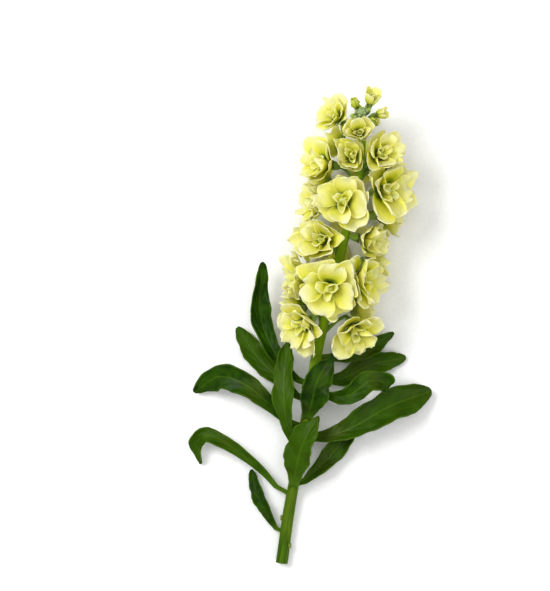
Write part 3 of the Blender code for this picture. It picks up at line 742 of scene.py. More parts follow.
def petal_ripple(s, t, vary):
    """Waves, pleats and a crease over a petal, and the frill along its edge."""
    edge = np.clip(np.maximum(np.abs(s), (t - 0.55) / 0.5), 0.0, 1.0) ** 3
    where = {
        "wave": 0.5 + 0.5 * s**2,
        "frill": edge,
        "fine frill": edge,
        "tip": eased_step(t, 0.65, 1.05),
        "pleats": eased_step(t, 0.2, 0.6),
    }
    height = (0.7 * vary[8] - 0.5) * np.exp(-(((s - 0.2 * vary[10]) / 0.25) ** 2))
    height = height + ROLL * vary[11] * s * np.abs(s) * t
    for name, (high, across, along, shift, own) in RIPPLES.items():
        height = height + high * where[name] * np.sin(across * s + along * t + shift * vary[own])
    return height * eased_step(t, 0.3, 1.0)


def petal_places(flower, whorl, number, flat, s):
    """Where the points of a flat petal come to lie in its flower, in the plan."""
    openness, scale, foot = flower.openness, flower_scale(flower), cup_scale(flower)
    key = FLOWERS.index(flower) + 1
    vary = [chance(key, whorl.ring * 7 + number + 1, k + 1) for k in range(12)]
    grown = mixed(PETAL_SIZE, openness)
    length = whorl.length * scale * grown * (1 + LENGTH_VARIES * vary[0])
    width = whorl.width * scale * grown * (1 + WIDTH_VARIES * vary[1])
    t = flat[:, 1]
    run, climb, angle = petal_curve(flower, whorl, length, vary, t)
    spread = np.maximum(mixed(whorl.cup, openness) * (1 + CUP_VARIES * vary[3]) * np.abs(s), 1e-4)
    across = flat[:, 0] * width * np.sin(spread) / spread
    lift = np.abs(flat[:, 0]) * width * (1.0 - np.cos(spread)) / spread
    lift = lift + whorl.ruffle * scale * openness * petal_ripple(s, t, vary)
    lift = lift + whorl.lean * (1.0 + 0.5 * vary[9]) * across * eased_step(t, 0.1, 0.5)
    clear = HEART_CLEAR if whorl.ring == HEART_RING else PETAL_CLEAR
    out = np.maximum(whorl.base * foot + run - lift * np.cos(angle), clear * foot)
    high = whorl.rise * foot + climb + lift * np.sin(angle)
    room = out * math.tan(math.pi / whorl.count) * PETAL_OVERLAP
    across = room * np.tanh(across / room)
    turn = math.radians(flower.turn + whorl.turn + 360.0 * number / whorl.count + TURN_VARIES * vary[5])
    x = out * math.cos(turn) - across * math.sin(turn)
    y = out * math.sin(turn) + across * math.cos(turn)
    points = placed(flower, np.stack((x, y, high), axis=-1))
    held = mixed(PETAL_HELD, openness)
    return kept_clear(flower, points, eased_step(t, held, held + 0.4), whorl.inset)


def whorls_of(flower):
    if flower.openness < YOUNG_BELOW:
        return YOUNG_WHORLS
    return SHUT_WHORLS if flower.openness < BUD_BELOW else OPEN_WHORLS


def flower_head(flower, broad, slim, finishes, slot):
    """All the petals of one flower, laid one by one from the same two patterns."""
    petals = []
    key = FLOWERS.index(flower) + 1
    for whorl in whorls_of(flower):
        pattern = broad if whorl.width > BROAD_FROM else slim
        s, _ = shares_of(pattern)
        flat = places_of(pattern)[:, :2]
        for number in range(whorl.count):
            petal = copied(pattern, f"{flower.name}_petal")
            lay_out(petal, in_metres(petal_places(flower, whorl, number, flat, s)))
            marked(petal, "tint", chance(key, whorl.ring + 11, number + 3))
            marked(petal, "heart", whorl.heart)
            petals.append(petal)
    head = joined(petals, f"{flower.name}_petals")
    thickened(head, mixed(PETAL_THICKNESS, flower.openness) * MM)
    return finished(head, finishes, slot, flower.name)


# Green parts


def tube_along(name, line, radii, sides):
    """A round tube through points, drawn as a curve and made a mesh."""
    fresh()
    bpy.ops.curve.primitive_bezier_curve_add()
    drawn = taken_up(name)
    spline = drawn.data.splines[0]
    spline.bezier_points.add(len(line) - 2)
    for knot, place, radius in zip(spline.bezier_points, in_metres(line), radii):
        knot.co = place
        knot.radius = radius
        knot.handle_left_type = knot.handle_right_type = "AUTO"
    drawn.data.bevel_depth = MM
    drawn.data.bevel_resolution = sides // 2 - 2
    drawn.data.resolution_u = 4
    drawn.data.use_fill_caps = True
    bpy.ops.object.convert(target="MESH")
    return bpy.context.object


def set_at(piece, origin, axes, scale):
    """Turns a piece that was made at the origin into place, in the plan."""
    lay_out(piece, in_metres(origin + (places_of(piece) * scale) @ axes))


def stalk_of(flower):
    scale = cup_scale(flower)
    facing = flower_axes(flower)[2]
    foot = cup_foot(flower)
    root = stem_at(min(foot[1] - STALK_DROP * scale, STEM_TIP - STALK_BELOW_TIP))[:3]
    before = foot - facing * STALK_STRAIGHT * scale
    t = np.linspace(0.0, 1.0, len(STALK_RADII))[:, None]
    line = (1 - t) ** 2 * root + 2 * t * (1 - t) * before + t**2 * (foot + facing * STALK_INTO_CUP)
    radii = STALK_RADIUS * scale * np.array(STALK_RADII)
    return tube_along(f"{flower.name}_stalk", line, radii, STALK_SIDES)


def main_stem():
    """The stem, ribbed and a little uneven, with its cut end dished and marked as pith."""
    line = curve_through(STEM_POINTS, np.linspace(0.0, 1.0, STEM_RINGS))
    uneven = [1.0 + STEM_UNEVEN * chance(k, 2, 5) for k in range(len(line))]
    stem = tube_along("main_stem", line[:, :3], line[:, 3] * uneven, STEM_SIDES)
    edit_points(stem)
    bpy.ops.mesh.select_all(action="SELECT")
    bpy.ops.mesh.remove_doubles(threshold=0.01 * MM)
    cut = places_of(stem)[:, 1].min() + 2.0 * MM
    pick(stem, lambda point: point.y < cut)
    bpy.ops.mesh.dissolve_faces()
    stepped_in(CUT_STEPS, Vector((0.0, 1.0, 0.0)), MM)
    done_editing()
    plan = places_of(stem) / MM + FOOTPRINT
    axis, radius = np.split(stem_at(plan[:, 1]), (3,), axis=1)
    spoke = plan - axis
    marked(stem, "pith", 1.0 - eased_step(np.linalg.norm(spoke, axis=1) / radius[:, 0], *PITH_EDGE))
    turn = np.arctan2(spoke[:, 2], spoke[:, 0])
    rib = 1.0
    for count, high, twist, phase in STEM_RIBS:
        rib = rib + high * np.cos(count * turn + twist * plan[:, 1] + phase)
    lay_out(stem, in_metres(axis + spoke * rib[:, None]))
    return stem


def leaf_scar(k, y, turn, height):
    """The low pad left where a leaf came off: a bevelled disc with a dimple."""
    pad = rod(f"leaf_scar_{k}", *SCAR_PAD)
    edit_points(pad)
    pick(pad, lambda point: point.z > 0.9)
    stepped_in(SCAR_STEPS, Vector((0.0, 0.0, 1.0)))
    pick(pad, lambda point: point.z > -0.5)
    stretch(*SCAR_SHAPE)
    done_editing()
    rounded_off(pad)
    x, _, z, radius = stem_at(y)
    out = np.array((math.cos(turn), 0.0, math.sin(turn)))
    along = np.array((0.0, 1.0, 0.0))
    origin = np.array((x, y, z)) + out * (radius + height - SCAR_DEPTH)
    set_at(pad, origin, (np.cross(along, out), along, out), 1.0)
    return pad


def stem_and_cups(finishes):
    """The main stem and, in one piece each, its leaf scars and the stalks and cups of its flowers."""
    pattern = cup_pattern()
    cups = [copied(pattern, f"{flower.name}_cup") for flower in FLOWERS]
    bpy.data.objects.remove(pattern)
    stalks = [stalk_of(flower) for flower in FLOWERS]
    for flower, cup, stalk in zip(FLOWERS, cups, stalks):
        set_at(cup, flower_mouth(flower), flower_axes(flower), cup_scale(flower))
        marked(cup, "young", 1.0 - flower.openness)
        marked(stalk, "young", 1.0 - flower.openness)
    scars = [leaf_scar(k, *scar) for k, scar in enumerate(SCARS)]
    stem = main_stem()
    sets = ((cups, "sepal_cups", "sepal"), (stalks, "flower_stalks", "stalk"), (scars, "leaf_scars", "scar"))
    for parts, name, finish in sets:
        finished(joined(parts, name), [finishes[finish]], "stem_green", "stem")
    in_hand(finished(stem, [finishes["stem"]], "stem_green", "stem"))
    bpy.ops.object.shade_smooth_by_angle(angle=math.radians(40.0))


def bud_has_room(root, aim, length, width):
    """Whether a bud stays clear of the flowers that stand round the cluster."""
    for flower in FLOWERS:
        foot = cup_foot(flower)
        axis = flower.centre - foot
        for share, girth in BUD_PROFILE:
            spot = root + aim * length * share
            along = np.clip((spot - foot) @ axis / (axis @ axis), 0.0, 1.0)
            body = mixed((STALK_RADIUS, 0.45 * flower.reach), along) + girth * width / 2
            if np.linalg.norm(spot - foot - axis * along) < body + BUD_CLEAR:
                return False
    return True


def bud_places():
    """Root, aim, length, width and share of each shut bud at the tip, as the solids have them."""
    tip = STEM_LINE[-1, :3]
    forward = directions(STEM_LINE[:, :3])[-1]
    side = unit(np.cross(forward, UP))
    top = np.cross(side, forward)
    foot = tip + forward * 0.3
    found = []
    for k in range(BUD_COUNT):
        share = ((k + 0.5) / BUD_COUNT) ** 0.7
        angle = k * GOLDEN_TURN
        around = side * math.cos(angle) + top * math.sin(angle)
        tilt = math.radians(mixed(BUD_TILT, share) + BUD_TILT_VARIES * chance(k, 3, 1))
        aim = forward * math.cos(tilt) + around * math.sin(tilt)
        root = foot + forward * BUD_CORE_LENGTH * mixed(BUD_ROOTS, share) + around * (1 - share)
        size = (mixed(BUD_LENGTH, share), mixed(BUD_WIDTH, share))
        if bud_has_room(root, aim, *size):
            found.append((root, aim, *size, share))
    return found, foot, forward


def hairs_on(bud, number, root, axes, size, pattern):
    """Short hairs in a spiral over the upper half of a bud."""
    hairs = []
    for h in range(HAIRS_PER_BUD):
        turn = h * GOLDEN_TURN + number
        height = mixed(HAIR_HEIGHTS, (h + 0.5) / HAIRS_PER_BUD)
        girth = np.interp(height, *zip(*BUD_RINGS)) * HAIR_ROOTS
        local = np.array((girth * math.cos(turn), girth * math.sin(turn), height)) * size
        out = np.array((math.cos(turn), math.sin(turn), 0.9 * height + 0.4 * chance(h, number, 7)))
        hair = copied(pattern, f"{bud.name}_hair")
        shape = np.array((HAIR_GIRTH, HAIR_GIRTH, HAIR_LENGTH + HAIR_VARIES * chance(h, number, 2)))
        set_at(hair, root + local @ axes, axes_along(out @ axes), shape)
        hairs.append(hair)
    return hairs


def buds_at_tip(finishes):
    """The cluster of shut buds with their short pale hairs."""
    bud_form, hair_form = bud_pattern(), hair_pattern()
    height = places_of(bud_form)[:, 2]
    found, foot, forward = bud_places()
    places, radii = zip(*BUD_CORE)
    line = [foot + forward * BUD_CORE_LENGTH * place for place in places]
    core = tube_along("bud_core", line, radii, STALK_SIDES)
    marked(core, "young", 0.4)
    # The mark deep paints shade, here over the whole core between the buds
    marked(core, "deep", 1.0)
    buds, hairs = [core], []
    for k, (root, aim, length, width, share) in enumerate(found):
        bud = copied(bud_form, f"bud_{k}")
        axes = axes_along(aim)
        size = np.array((width, width, length * BUD_STRETCH))
        set_at(bud, root, axes, size)
        marked(bud, "young", 0.15 + 0.85 * share)
        # The mark deep paints shade low on each bud, and the mark tip pales its tip, partly as a painted
        # highlight
        marked(bud, "deep", 1.0 - eased_step(height, 0.6, 0.92))
        marked(bud, "tip", eased_step(height, 0.86, 1.0))
        buds.append(bud)
        hairs += hairs_on(bud, k, root, axes, size, hair_form)
    for form in (bud_form, hair_form):
        bpy.data.objects.remove(form)
    finished(joined(buds, "shut_buds"), [finishes["bud"]], "bud_green", "bud_cluster")
    finished(joined(hairs, "bud_hairs"), [finishes["hair"]], "bud_green", "bud_cluster")


def leaf_half_width(leaf, t):
    """Half of a leaf's width, as a share of its widest, from stem to tip."""
    rise = eased_step(t, 0.0, leaf.widest)
    past = np.clip((t - leaf.widest) / (1.02 - leaf.widest), 0.0, 0.985)
    return (LEAF_STALK_SHARE + (1 - LEAF_STALK_SHARE) * rise) * (1.0 - past**2) ** leaf.point


def leaf_wave(leaf, t, side, waves):
    count, shift, apart = waves
    return np.sin(2 * math.pi * count * t + shift * leaf.phase + apart * side)


def leaf_places(leaf, s, v):
    """Where the points of a flat sheet come to lie in a leaf, in the plan."""
    rows, index = np.unique(np.round(v, 6), return_inverse=True)
    t_rows = eased_rows(rows)
    line = curve_through(leaf.midrib, t_rows)
    forward = directions(line)[index]
    t = t_rows[index]
    flat_side = unit(np.cross(forward, UP))
    roll = np.radians(mixed(leaf.roll, t))[:, None]
    flat_top = np.cross(flat_side, forward)
    side = flat_side * np.cos(roll) + flat_top * np.sin(roll)
    top = np.cross(side, forward)
    half = leaf_half_width(leaf, t) * leaf.width / 2
    sway, notch, frill = (leaf_wave(leaf, t, np.sign(s), w) for w in (LEAF_SWAY, LEAF_NOTCHES, LEAF_FRILL))
    edge = np.abs(s) ** 3 * eased_step(t, 0.1, 0.4)
    half = half * (1.0 + (0.05 * sway + 0.02 * notch) * edge)
    across = half * np.sin(LEAF_FOLD * s) / LEAF_FOLD
    lift = half * (1 - np.cos(LEAF_FOLD * s)) / LEAF_FOLD
    lift = lift + leaf.wave * leaf_wave(leaf, t, s, LEAF_WAVES) * s**2 * eased_step(t, 0.05, 0.5)
    lift = lift + (0.3 + 0.16 * leaf.wave) * frill * edge
    width, depth = LEAF_GROOVE
    lift = lift - depth * np.exp(-((s / width) ** 2)) * (1.0 - 0.7 * t)
    count, slant, high = LEAF_QUILT
    quilt = np.sin(2 * math.pi * (count * t - slant * np.abs(s))) * np.sin(math.pi * np.clip(np.abs(s), 0, 1))
    lift = lift + high * quilt * eased_step(t, 0.1, 0.3)
    ahead = 1.2 * half * t**6 * (1.0 - s**2)
    spot = line[index] + ahead[:, None] * forward
    share, reach = LEAF_FOOT_IN
    sunk = share * (1.0 - eased_step(t, 0.0, reach))[:, None]
    spot = spot + sunk * (stem_at(spot[:, 1])[:, :3] - spot) * (1.0, 0.0, 1.0)
    return spot + across[:, None] * side + lift[:, None] * top


def leaf_pieces(finishes):
    """Every leaf, laid from one flat sheet, with its face and its back."""
    pattern = sheet_pattern("leaf_pattern", *LEAF_GRID)
    s, v = shares_of(pattern)
    for k, leaf in enumerate(LEAVES):
        blade = copied(pattern, f"{leaf.name}_blade")
        lay_out(blade, in_metres(leaf_places(leaf, s, v)))
        marked(blade, "tint", chance(k, 4, 9))
        thickened(blade, LEAF_THICKNESS * MM)
        finished(blade, [finishes["leaf"], finishes["leaf_back"]], "leaf_green", leaf.name)
    bpy.data.objects.remove(pattern)


# Finishes

# Colours of a petal: along it from claw to rim, its dark green claw partly painted shade, and what is laid
# over them
PETAL_RAMP = (
    (0.0, (0.02, 0.07, 0.001)), (0.26, (0.10, 0.22, 0.002)), (0.42, (0.63, 0.64, 0.016)),
    (0.64, (0.78, 0.745, 0.15)), (1.0, (0.85, 0.82, 0.50)),
)
PETAL_HEART = (0.56, 0.66, 0.03)
PETAL_YOUNG = (0.34, 0.52, 0.012)
PETAL_WARM = (0.85, 0.76, 0.32)
PETAL_VEIN = (0.66, 0.66, 0.12)
# The rim colour is partly a painted highlight along the petal's edges
PETAL_RIM = (0.90, 0.87, 0.54)
PETAL_BACK = (0.70, 0.75, 0.16)

# Colours of a leaf: its two patches, darkened partly as painted shade, and what is laid over them
LEAF_PATCHES = ((0.010, 0.040, 0.0006), (0.029, 0.084, 0.0015))
LEAF_TINT = (0.066, 0.136, 0.002)
LEAF_DULL = (0.070, 0.088, 0.010)
LEAF_BACK = (0.12, 0.20, 0.03)
LEAF_VEIN = (0.08, 0.17, 0.006)
LEAF_MARGIN = (0.12, 0.21, 0.015)
LEAF_MIDRIB = (0.15, 0.26, 0.015)
LEAF_FOOT = (0.11, 0.21, 0.012)

# Pith of the cut end, the painted shade between the buds and over their core, and the surface
PITH = ((0.42, 0.50, 0.20), (0.62, 0.66, 0.38))
PAINTED_BUD_SHADE = (0.02, 0.05, 0.005)
SURFACE = ((0.91, 0.91, 0.91), (0.94, 0.94, 0.94))


class Bench:
    """A node tree with short ways to add and join nodes."""

    def __init__(self, tree):
        self.tree = tree

    def put(self, target, value):
        if isinstance(value, bpy.types.NodeSocket):
            self.tree.links.new(value, target)
        elif isinstance(value, (tuple, list)) and len(value) == 3 and target.type == "RGBA":
            target.default_value = (*value, 1.0)
        else:
            target.default_value = value

    def node(self, kind, values, **settings):
        """A new node, with values in the inputs that their numbers or labels say."""
        node = self.tree.nodes.new(kind)
        for name, setting in settings.items():
            setattr(node, name, setting)
        for place, value in values:
            self.put(node.inputs[place], value)
        return node

    def calc(self, operation, *values):
        return self.node("ShaderNodeMath", enumerate(values), operation=operation).outputs[0]

    def times(self, first, second):
        return self.calc("MULTIPLY", first, second)

    def plus(self, first, second):
        return self.calc("ADD", first, second)

    def minus(self, first, second):
        return self.calc("SUBTRACT", first, second)

    def blend(self, share, first, second):
        return self.node("ShaderNodeMix", ((0, share), (6, first), (7, second)), data_type="RGBA").outputs[2]

    def span(self, value, low, high, to_low=0.0, to_high=1.0):
        values = enumerate((value, low, high, to_low, to_high))
        return self.node("ShaderNodeMapRange", values, interpolation_type="SMOOTHSTEP").outputs[0]

    def noise(self, vector, scale, detail=3.0, roughness=0.55):
        values = (("Vector", vector), ("Scale", scale), ("Detail", detail), ("Roughness", roughness))
        return self.node("ShaderNodeTexNoise", values).outputs["Fac"]

    def vector(self, x, y, z=0.0):
        return self.node("ShaderNodeCombineXYZ", enumerate((x, y, z))).outputs[0]

    def parts(self, vector):
        return self.node("ShaderNodeSeparateXYZ", ((0, vector),)).outputs

    def mark(self, name):
        return self.node("ShaderNodeAttribute", (), attribute_name=name).outputs["Fac"]

    def ramp(self, value, stops):
        node = self.node("ShaderNodeValToRGB", ((0, value),))
        band = node.color_ramp
        while len(band.elements) < len(stops):
            band.elements.new(0.5)
        for element, (place, colour) in zip(band.elements, stops):
            element.position = place
            element.color = (*colour, 1.0)
        return node.outputs[0]

    def bump(self, height, strength, distance):
        values = (("Height", height), ("Strength", strength), ("Distance", distance))
        return self.node("ShaderNodeBump", values).outputs[0]

    def use(self, group, **values):
        return self.node("ShaderNodeGroup", values.items(), node_tree=bpy.data.node_groups[group]).outputs


def new_group(name, inputs, outputs):
    """The bench, inputs and outputs of a shader node group. An input with no number is a place."""
    group = bpy.data.node_groups.new(name, "ShaderNodeTree")
    for label, value in inputs.items():
        kind = "NodeSocketVector" if value is None else "NodeSocketFloat"
        socket = group.interface.new_socket(name=label, in_out="INPUT", socket_type=kind)
        if value is not None:
            socket.default_value = value
    for label in outputs:
        group.interface.new_socket(name=label, in_out="OUTPUT", socket_type="NodeSocketFloat")
    return Bench(group), group.nodes.new("NodeGroupInput").outputs, group.nodes.new("NodeGroupOutput").inputs


def petal_veins_group():
    """Fine veins that fan out along a petal's own map, and how near a point is to the edge."""
    b, given, out = new_group("petal_veins", {"Map": None, "Shift": 0.0}, ("Veins", "Edge"))
    u, v, _ = b.parts(given["Map"])
    wander = b.noise(b.vector(u, v, given["Shift"]), 3.0, 2.0)
    across = b.plus(b.times(u, 26.0), b.times(wander, 5.0))
    fine = b.noise(b.vector(across, b.times(v, 2.2), given["Shift"]), 1.0, roughness=0.6)
    b.put(out["Veins"], b.span(fine, 0.42, 0.62))
    side = b.calc("MINIMUM", u, b.minus(1.0, u))
    rim = b.calc("MINIMUM", side, b.times(b.minus(1.0, v), 0.9))
    b.put(out["Edge"], b.span(rim, 0.0, 0.06, 1.0, 0.0))


def mottle_group():
    """Soft patches and fine grain over a surface, for a finish that is never one flat colour."""
    b, given, out = new_group("mottle", {"Place": None, "Size": 60.0, "Grain": 900.0}, ("Patches", "Grain"))
    for size, mark, detail, roughness in (("Size", "Patches", 3.0, 0.5), ("Grain", "Grain", 2.0, 0.6)):
        b.put(out[mark], b.span(b.noise(given["Place"], given[size], detail, roughness), 0.35, 0.65))


def leaf_veins_group():
    """A midrib and the side veins that leave it at a slant, on a leaf's own map, and its margin."""
    b, given, out = new_group("leaf_veins", {"Map": None}, ("Midrib", "Side veins", "Margin"))
    u, v, _ = b.parts(given["Map"])
    off = b.calc("ABSOLUTE", b.minus(b.times(u, 2.0), 1.0))
    width = b.plus(0.035, b.times(b.minus(1.0, v), 0.09))
    b.put(out["Midrib"], b.span(b.calc("DIVIDE", off, width), 0.45, 1.0, 1.0, 0.0))
    wander = b.noise(b.vector(u, b.times(v, 4.0)), 2.5, 2.0)
    slant = b.plus(b.times(off, -0.16), b.times(wander, 0.10))
    beat = b.calc("FRACT", b.times(b.plus(v, slant), 11.0))
    near = b.calc("ABSOLUTE", b.minus(beat, 0.5))
    line = b.span(near, 0.0, 0.09, 1.0, 0.0)
    b.put(out["Side veins"], b.times(line, b.span(off, 0.2, 0.95, 1.0, 0.1)))
    b.put(out["Margin"], b.span(off, 0.90, 0.99))


def material(name, inputs):
    """A new material with these values on its shader, a bench for its nodes, and its coordinates."""
    made = bpy.data.materials.new(name)
    made.use_nodes = True
    shader = made.node_tree.nodes["Principled BSDF"]
    for label, value in inputs.items():
        shader.inputs[label].default_value = value
    coordinates = made.node_tree.nodes.new("ShaderNodeTexCoord")
    return made, Bench(made.node_tree), coordinates.outputs


def coated(made, b, colour, roughness=None, normal=None):
    """Joins a material's colour, roughness and bump to its shader."""
    shader = made.node_tree.nodes["Principled BSDF"]
    for label, value in (("Base Color", colour), ("Roughness", roughness), ("Normal", normal)):
        if value is not None:
            b.put(shader.inputs[label], value)
    return made


def petal_finish(name, back):
    """Thin, softly lit lemon-cream petal: dark green at its claw, partly painted shade deep in the flower,
    and paler and almost white at its rim, partly a painted highlight.
    """
    made, b, at = material(name, {
        "Roughness": 0.62, "Specular IOR Level": 0.18, "Subsurface Weight": 0.55,
        "Subsurface Radius": (1.0, 0.9, 0.35), "Subsurface Scale": 0.0018,
    })
    tint, heart = b.mark("tint"), b.mark("heart")
    veins = b.use("petal_veins", Map=at["UV"], Shift=tint)
    skin = b.use("mottle", Place=at["Object"], Size=70.0, Grain=700.0)
    along = b.parts(at["UV"])[1]
    # The claw end of the ramp is partly painted shade, darker where a petal runs deep into the flower
    colour = b.ramp(b.plus(along, b.times(b.minus(skin["Patches"], 0.5), 0.16)), PETAL_RAMP)
    colour = b.blend(b.times(b.times(heart, 0.9), b.span(along, 0.1, 0.45)), colour, PETAL_HEART)
    colour = b.blend(b.span(heart, 0.6, 1.0, 0.0, 0.65), colour, PETAL_YOUNG)
    colour = b.blend(b.span(tint, -1.0, 1.0, 0.0, 0.25), colour, PETAL_WARM)
    colour = b.blend(b.times(veins["Veins"], 0.16), colour, PETAL_VEIN)
    # Partly painted highlight: a paler rim along the petal's edges, besides its thin margin
    colour = b.blend(b.times(veins["Edge"], 0.3), colour, PETAL_RIM)
    if back:
        colour = b.blend(0.30, colour, PETAL_BACK)
    crinkle = b.noise(at["Object"], 240.0)
    height = b.plus(b.times(veins["Veins"], -0.7), b.times(skin["Grain"], 0.3))
    height = b.plus(height, b.times(crinkle, 2.6))
    return coated(made, b, colour, b.span(skin["Grain"], 0.0, 1.0, 0.52, 0.68), b.bump(height, 0.35, 0.0002))


def leaf_finish(name, back):
    """Dark, slightly waxy leaf, darkened partly as painted shade, with a pale midrib, faint side veins, a
    lighter margin and a paler foot.
    """
    made, b, at = material(name, {
        "Roughness": 0.42, "Specular IOR Level": 0.12, "Subsurface Weight": 0.12,
        "Subsurface Radius": (0.4, 0.8, 0.05), "Subsurface Scale": 0.002,
    })
    veins = b.use("leaf_veins", Map=at["UV"])
    skin = b.use("mottle", Place=at["Object"], Size=90.0, Grain=1500.0)
    # The leaf's own green, darkened partly as painted shade
    colour = b.blend(skin["Patches"], *LEAF_PATCHES)
    colour = b.blend(b.span(b.mark("tint"), -1.0, 1.0, 0.0, 0.55), colour, LEAF_TINT)
    dull = b.noise(at["Object"], 38.0)
    colour = b.blend(b.span(dull, 0.48, 0.72, 0.0, 0.45), colour, LEAF_DULL)
    if back:
        colour = b.blend(0.5, colour, LEAF_BACK)
    colour = b.blend(b.times(veins["Side veins"], 0.22), colour, LEAF_VEIN)
    colour = b.blend(b.times(veins["Margin"], 0.3), colour, LEAF_MARGIN)
    colour = b.blend(b.times(veins["Midrib"], 0.22), colour, LEAF_MIDRIB)
    colour = b.blend(b.span(b.parts(at["UV"])[1], 0.0, 0.22, 0.6, 0.0), colour, LEAF_FOOT)
    low, high = (0.5, 0.66) if back else (0.30, 0.48)
    height = b.plus(b.times(veins["Side veins"], -0.5), b.times(skin["Grain"], 0.35))
    return coated(made, b, colour, b.span(skin["Patches"], 0.0, 1.0, low, high), b.bump(height, 0.4, 0.0003))


def stem_finish(name, pale, deep, worn, upper):
    """Green skin with fine lengthwise streaks, darker towards the cut end and lighter towards the flowers as
    painted light and shade, partly fresher green there, and pale pith where it is cut.
    """
    made, b, at = material(name, {
        "Roughness": 0.5, "Specular IOR Level": 0.12, "Subsurface Weight": 0.1,
        "Subsurface Radius": (0.5, 0.9, 0.1), "Subsurface Scale": 0.002,
    })
    x, y, z = b.parts(at["Object"])
    slant = b.plus(x, b.times(y, -0.19))
    rise = b.plus(z, b.times(y, -0.11))
    streak = b.noise(b.vector(b.times(slant, 26.0), y, b.times(rise, 26.0)), 40.0)
    skin = b.use("mottle", Place=at["Object"], Size=45.0, Grain=1300.0)
    colour = b.blend(b.span(streak, 0.36, 0.64), deep, pale)
    colour = b.blend(b.times(skin["Patches"], 0.35), colour, worn)
    # Painted light and shade: lighter and partly fresher green towards the flowers, darker towards the cut
    # end
    colour = b.blend(b.span(y, -0.12, 0.04, 0.0, 0.75), colour, upper)
    colour = b.blend(b.mark("pith"), colour, b.blend(skin["Grain"], *PITH))
    height = b.plus(b.times(streak, 0.8), b.times(skin["Grain"], 0.25))
    return coated(made, b, colour, b.span(skin["Grain"], 0.0, 1.0, 0.42, 0.6), b.bump(height, 0.35, 0.0003))


def downy_finish(name, grey, green, silver):
    """Green under a felt of short silvery hairs, fresher green where the mark young is low, paler at the tips
    of buds, partly as a painted highlight, and darkened by painted shade where the mark deep is high.
    """
    made, b, at = material(name, {
        "Roughness": 0.8, "Sheen Weight": 0.2, "Sheen Roughness": 0.4, "Subsurface Weight": 0.1,
        "Subsurface Radius": (0.5, 0.9, 0.2), "Subsurface Scale": 0.001,
    })
    skin = b.use("mottle", Place=at["Object"], Size=260.0, Grain=2600.0)
    young = b.mark("young")
    colour = b.blend(b.span(young, 0.25, 0.8), green, grey)
    felt = b.times(skin["Grain"], b.plus(0.2, b.times(skin["Patches"], 0.5)))
    colour = b.blend(b.times(felt, b.span(young, 0.0, 0.7, 0.35, 0.9)), colour, silver)
    # Partly painted highlight: bud tips blended towards silver, besides their felt
    colour = b.blend(b.times(b.mark("tip"), 0.6), colour, silver)
    # Painted shade: darkened where the mark deep is high, at the roots of buds and over their core
    colour = b.blend(b.times(b.mark("deep"), 0.9), colour, PAINTED_BUD_SHADE)
    roughness = b.span(skin["Grain"], 0.0, 1.0, 0.7, 0.9)
    return coated(made, b, colour, roughness, b.bump(skin["Grain"], 0.5, 0.0003))


def floor_finish():
    """Pale and even, with a faint grain."""
    made, b, at = material("pale_surface", {"Roughness": 0.9, "Specular IOR Level": 0.1})
    grain = b.noise(at["Object"], 350.0, 2.0)
    return coated(made, b, b.blend(b.span(grain, 0.3, 0.7), *SURFACE))


def all_finishes():
    """Every finish by name."""
    petal_veins_group()
    mottle_group()
    leaf_veins_group()
    made = {
        "petal": petal_finish("petal_face", False),
        "petal_back": petal_finish("petal_back", True),
        "leaf": leaf_finish("leaf_face", False),
        "leaf_back": leaf_finish("leaf_back", True),
    }
    # A stem's colours are pale, deep, worn and upper, the last partly painted light, and the others' are
    # grey, green and silver
    for key, name, kind, *colours in (
        ("stem", "stem_skin", stem_finish,
         (0.086, 0.165, 0.004), (0.040, 0.095, 0.002), (0.15, 0.22, 0.015), (0.30, 0.47, 0.010)),
        ("scar", "scar_skin", stem_finish,
         (0.22, 0.27, 0.06), (0.10, 0.15, 0.02), (0.30, 0.28, 0.11), (0.24, 0.30, 0.06)),
        ("stalk", "stalk_skin", downy_finish, (0.15, 0.27, 0.03), (0.16, 0.30, 0.02), (0.40, 0.52, 0.22)),
        ("sepal", "sepal_skin", downy_finish, (0.24, 0.36, 0.06), (0.25, 0.38, 0.03), (0.48, 0.60, 0.28)),
        ("bud", "bud_felt", downy_finish, (0.10, 0.17, 0.04), (0.38, 0.52, 0.012), (0.46, 0.56, 0.25)),
        ("hair", "hair_silver", downy_finish, (0.52, 0.62, 0.30), (0.52, 0.62, 0.30), (0.74, 0.82, 0.54)),
    ):
        made[key] = kind(name, *colours)
    return made


# Studio

# Soft lights, aimed a little above the surface: name, place and size in metres, power in watts
LIGHTS = (
    ("key_light", (-0.62, 0.38, 1.02), 0.60, 8.8),
    ("fill_light", (0.95, -0.55, 0.85), 0.9, 4.0),
    ("top_light", (0.05, 0.10, 1.35), 0.8, 4.0),
)
LIGHT_AIM = (0.0, 0.0, 0.02)
WORLD_LIGHT = 0.38
FLOOR_SIZE = 6.0

# The level of the plan where a pixel has its size, how far above it the camera is in metres, and its sensor
PICTURE_LEVEL = 35.0
CAMERA_DISTANCE = 1.6
SENSOR = 36.0


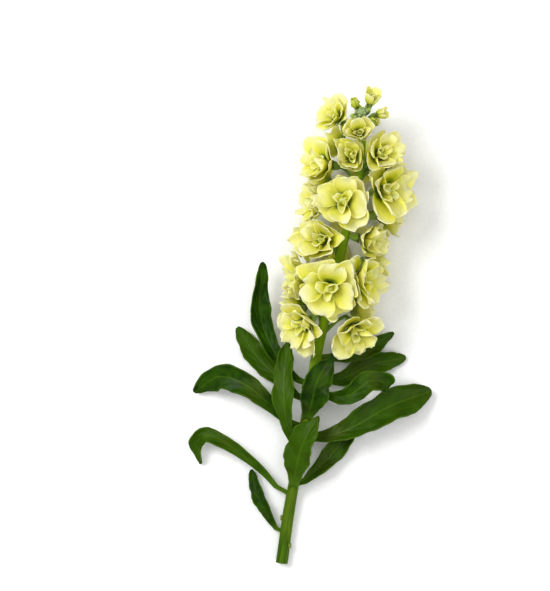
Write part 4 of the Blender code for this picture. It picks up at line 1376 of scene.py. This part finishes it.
def soft_light(name, place, size, power):
    fresh()
    bpy.ops.object.light_add(type="AREA", location=place)
    lamp = bpy.context.object
    lamp.name = name
    lamp.data.shape = "DISK"
    lamp.data.size = size
    lamp.data.energy = power
    lamp.rotation_euler = (Vector(LIGHT_AIM) - Vector(place)).to_track_quat("-Z", "Y").to_euler()


def studio():
    """The pale surface, even light from all round, and the lights."""
    floor = started("pale_floor", bpy.ops.mesh.primitive_plane_add, size=FLOOR_SIZE)
    floor.data.materials.append(floor_finish())
    world = bpy.data.worlds.new("studio")
    world.use_nodes = True
    sky = world.node_tree.nodes["Background"].inputs
    sky["Color"].default_value = (1.0, 1.0, 1.0, 1.0)
    sky["Strength"].default_value = WORLD_LIGHT
    bpy.context.scene.world = world
    for light in LIGHTS:
        soft_light(*light)
    view = bpy.context.scene.view_settings
    view.view_transform, view.look = "Standard", "Medium High Contrast"


def camera():
    """Looks straight down, with the plan's origin on the same pixel as in the photograph."""
    width, height = PHOTO_SIZE
    right = (width / 2 - PHOTO_ORIGIN[0]) * PIXEL
    up = (PHOTO_ORIGIN[1] - height / 2) * PIXEL
    x, y, z = in_metres((right, up, PICTURE_LEVEL))
    fresh()
    bpy.ops.object.camera_add(location=(x, y, z + CAMERA_DISTANCE))
    eye = bpy.context.object
    eye.name = "photo_camera"
    eye.data.sensor_width = SENSOR
    eye.data.lens = SENSOR * CAMERA_DISTANCE / (height * PIXEL * MM)
    bpy.context.scene.camera = eye


def dressed():
    """The whole finished stem."""
    finishes = all_finishes()
    petals = [finishes["petal"], finishes["petal_back"]]
    broad = petal_pattern("broad_petal", 16, 15, claw=0.14, widest=0.64, tip=0.41, notch=0.02)
    slim = petal_pattern("slim_petal", 10, 12, claw=0.26, widest=0.60, tip=0.44, notch=0.0)
    for flower in FLOWERS:
        slot = "petal_young" if flower.name.startswith("young") else "petal_cream"
        flower_head(flower, broad, slim, petals, slot)
    for pattern in (broad, slim):
        bpy.data.objects.remove(pattern)
    stem_and_cups(finishes)
    buds_at_tip(finishes)
    leaf_pieces(finishes)


camera()
dressed()
studio()
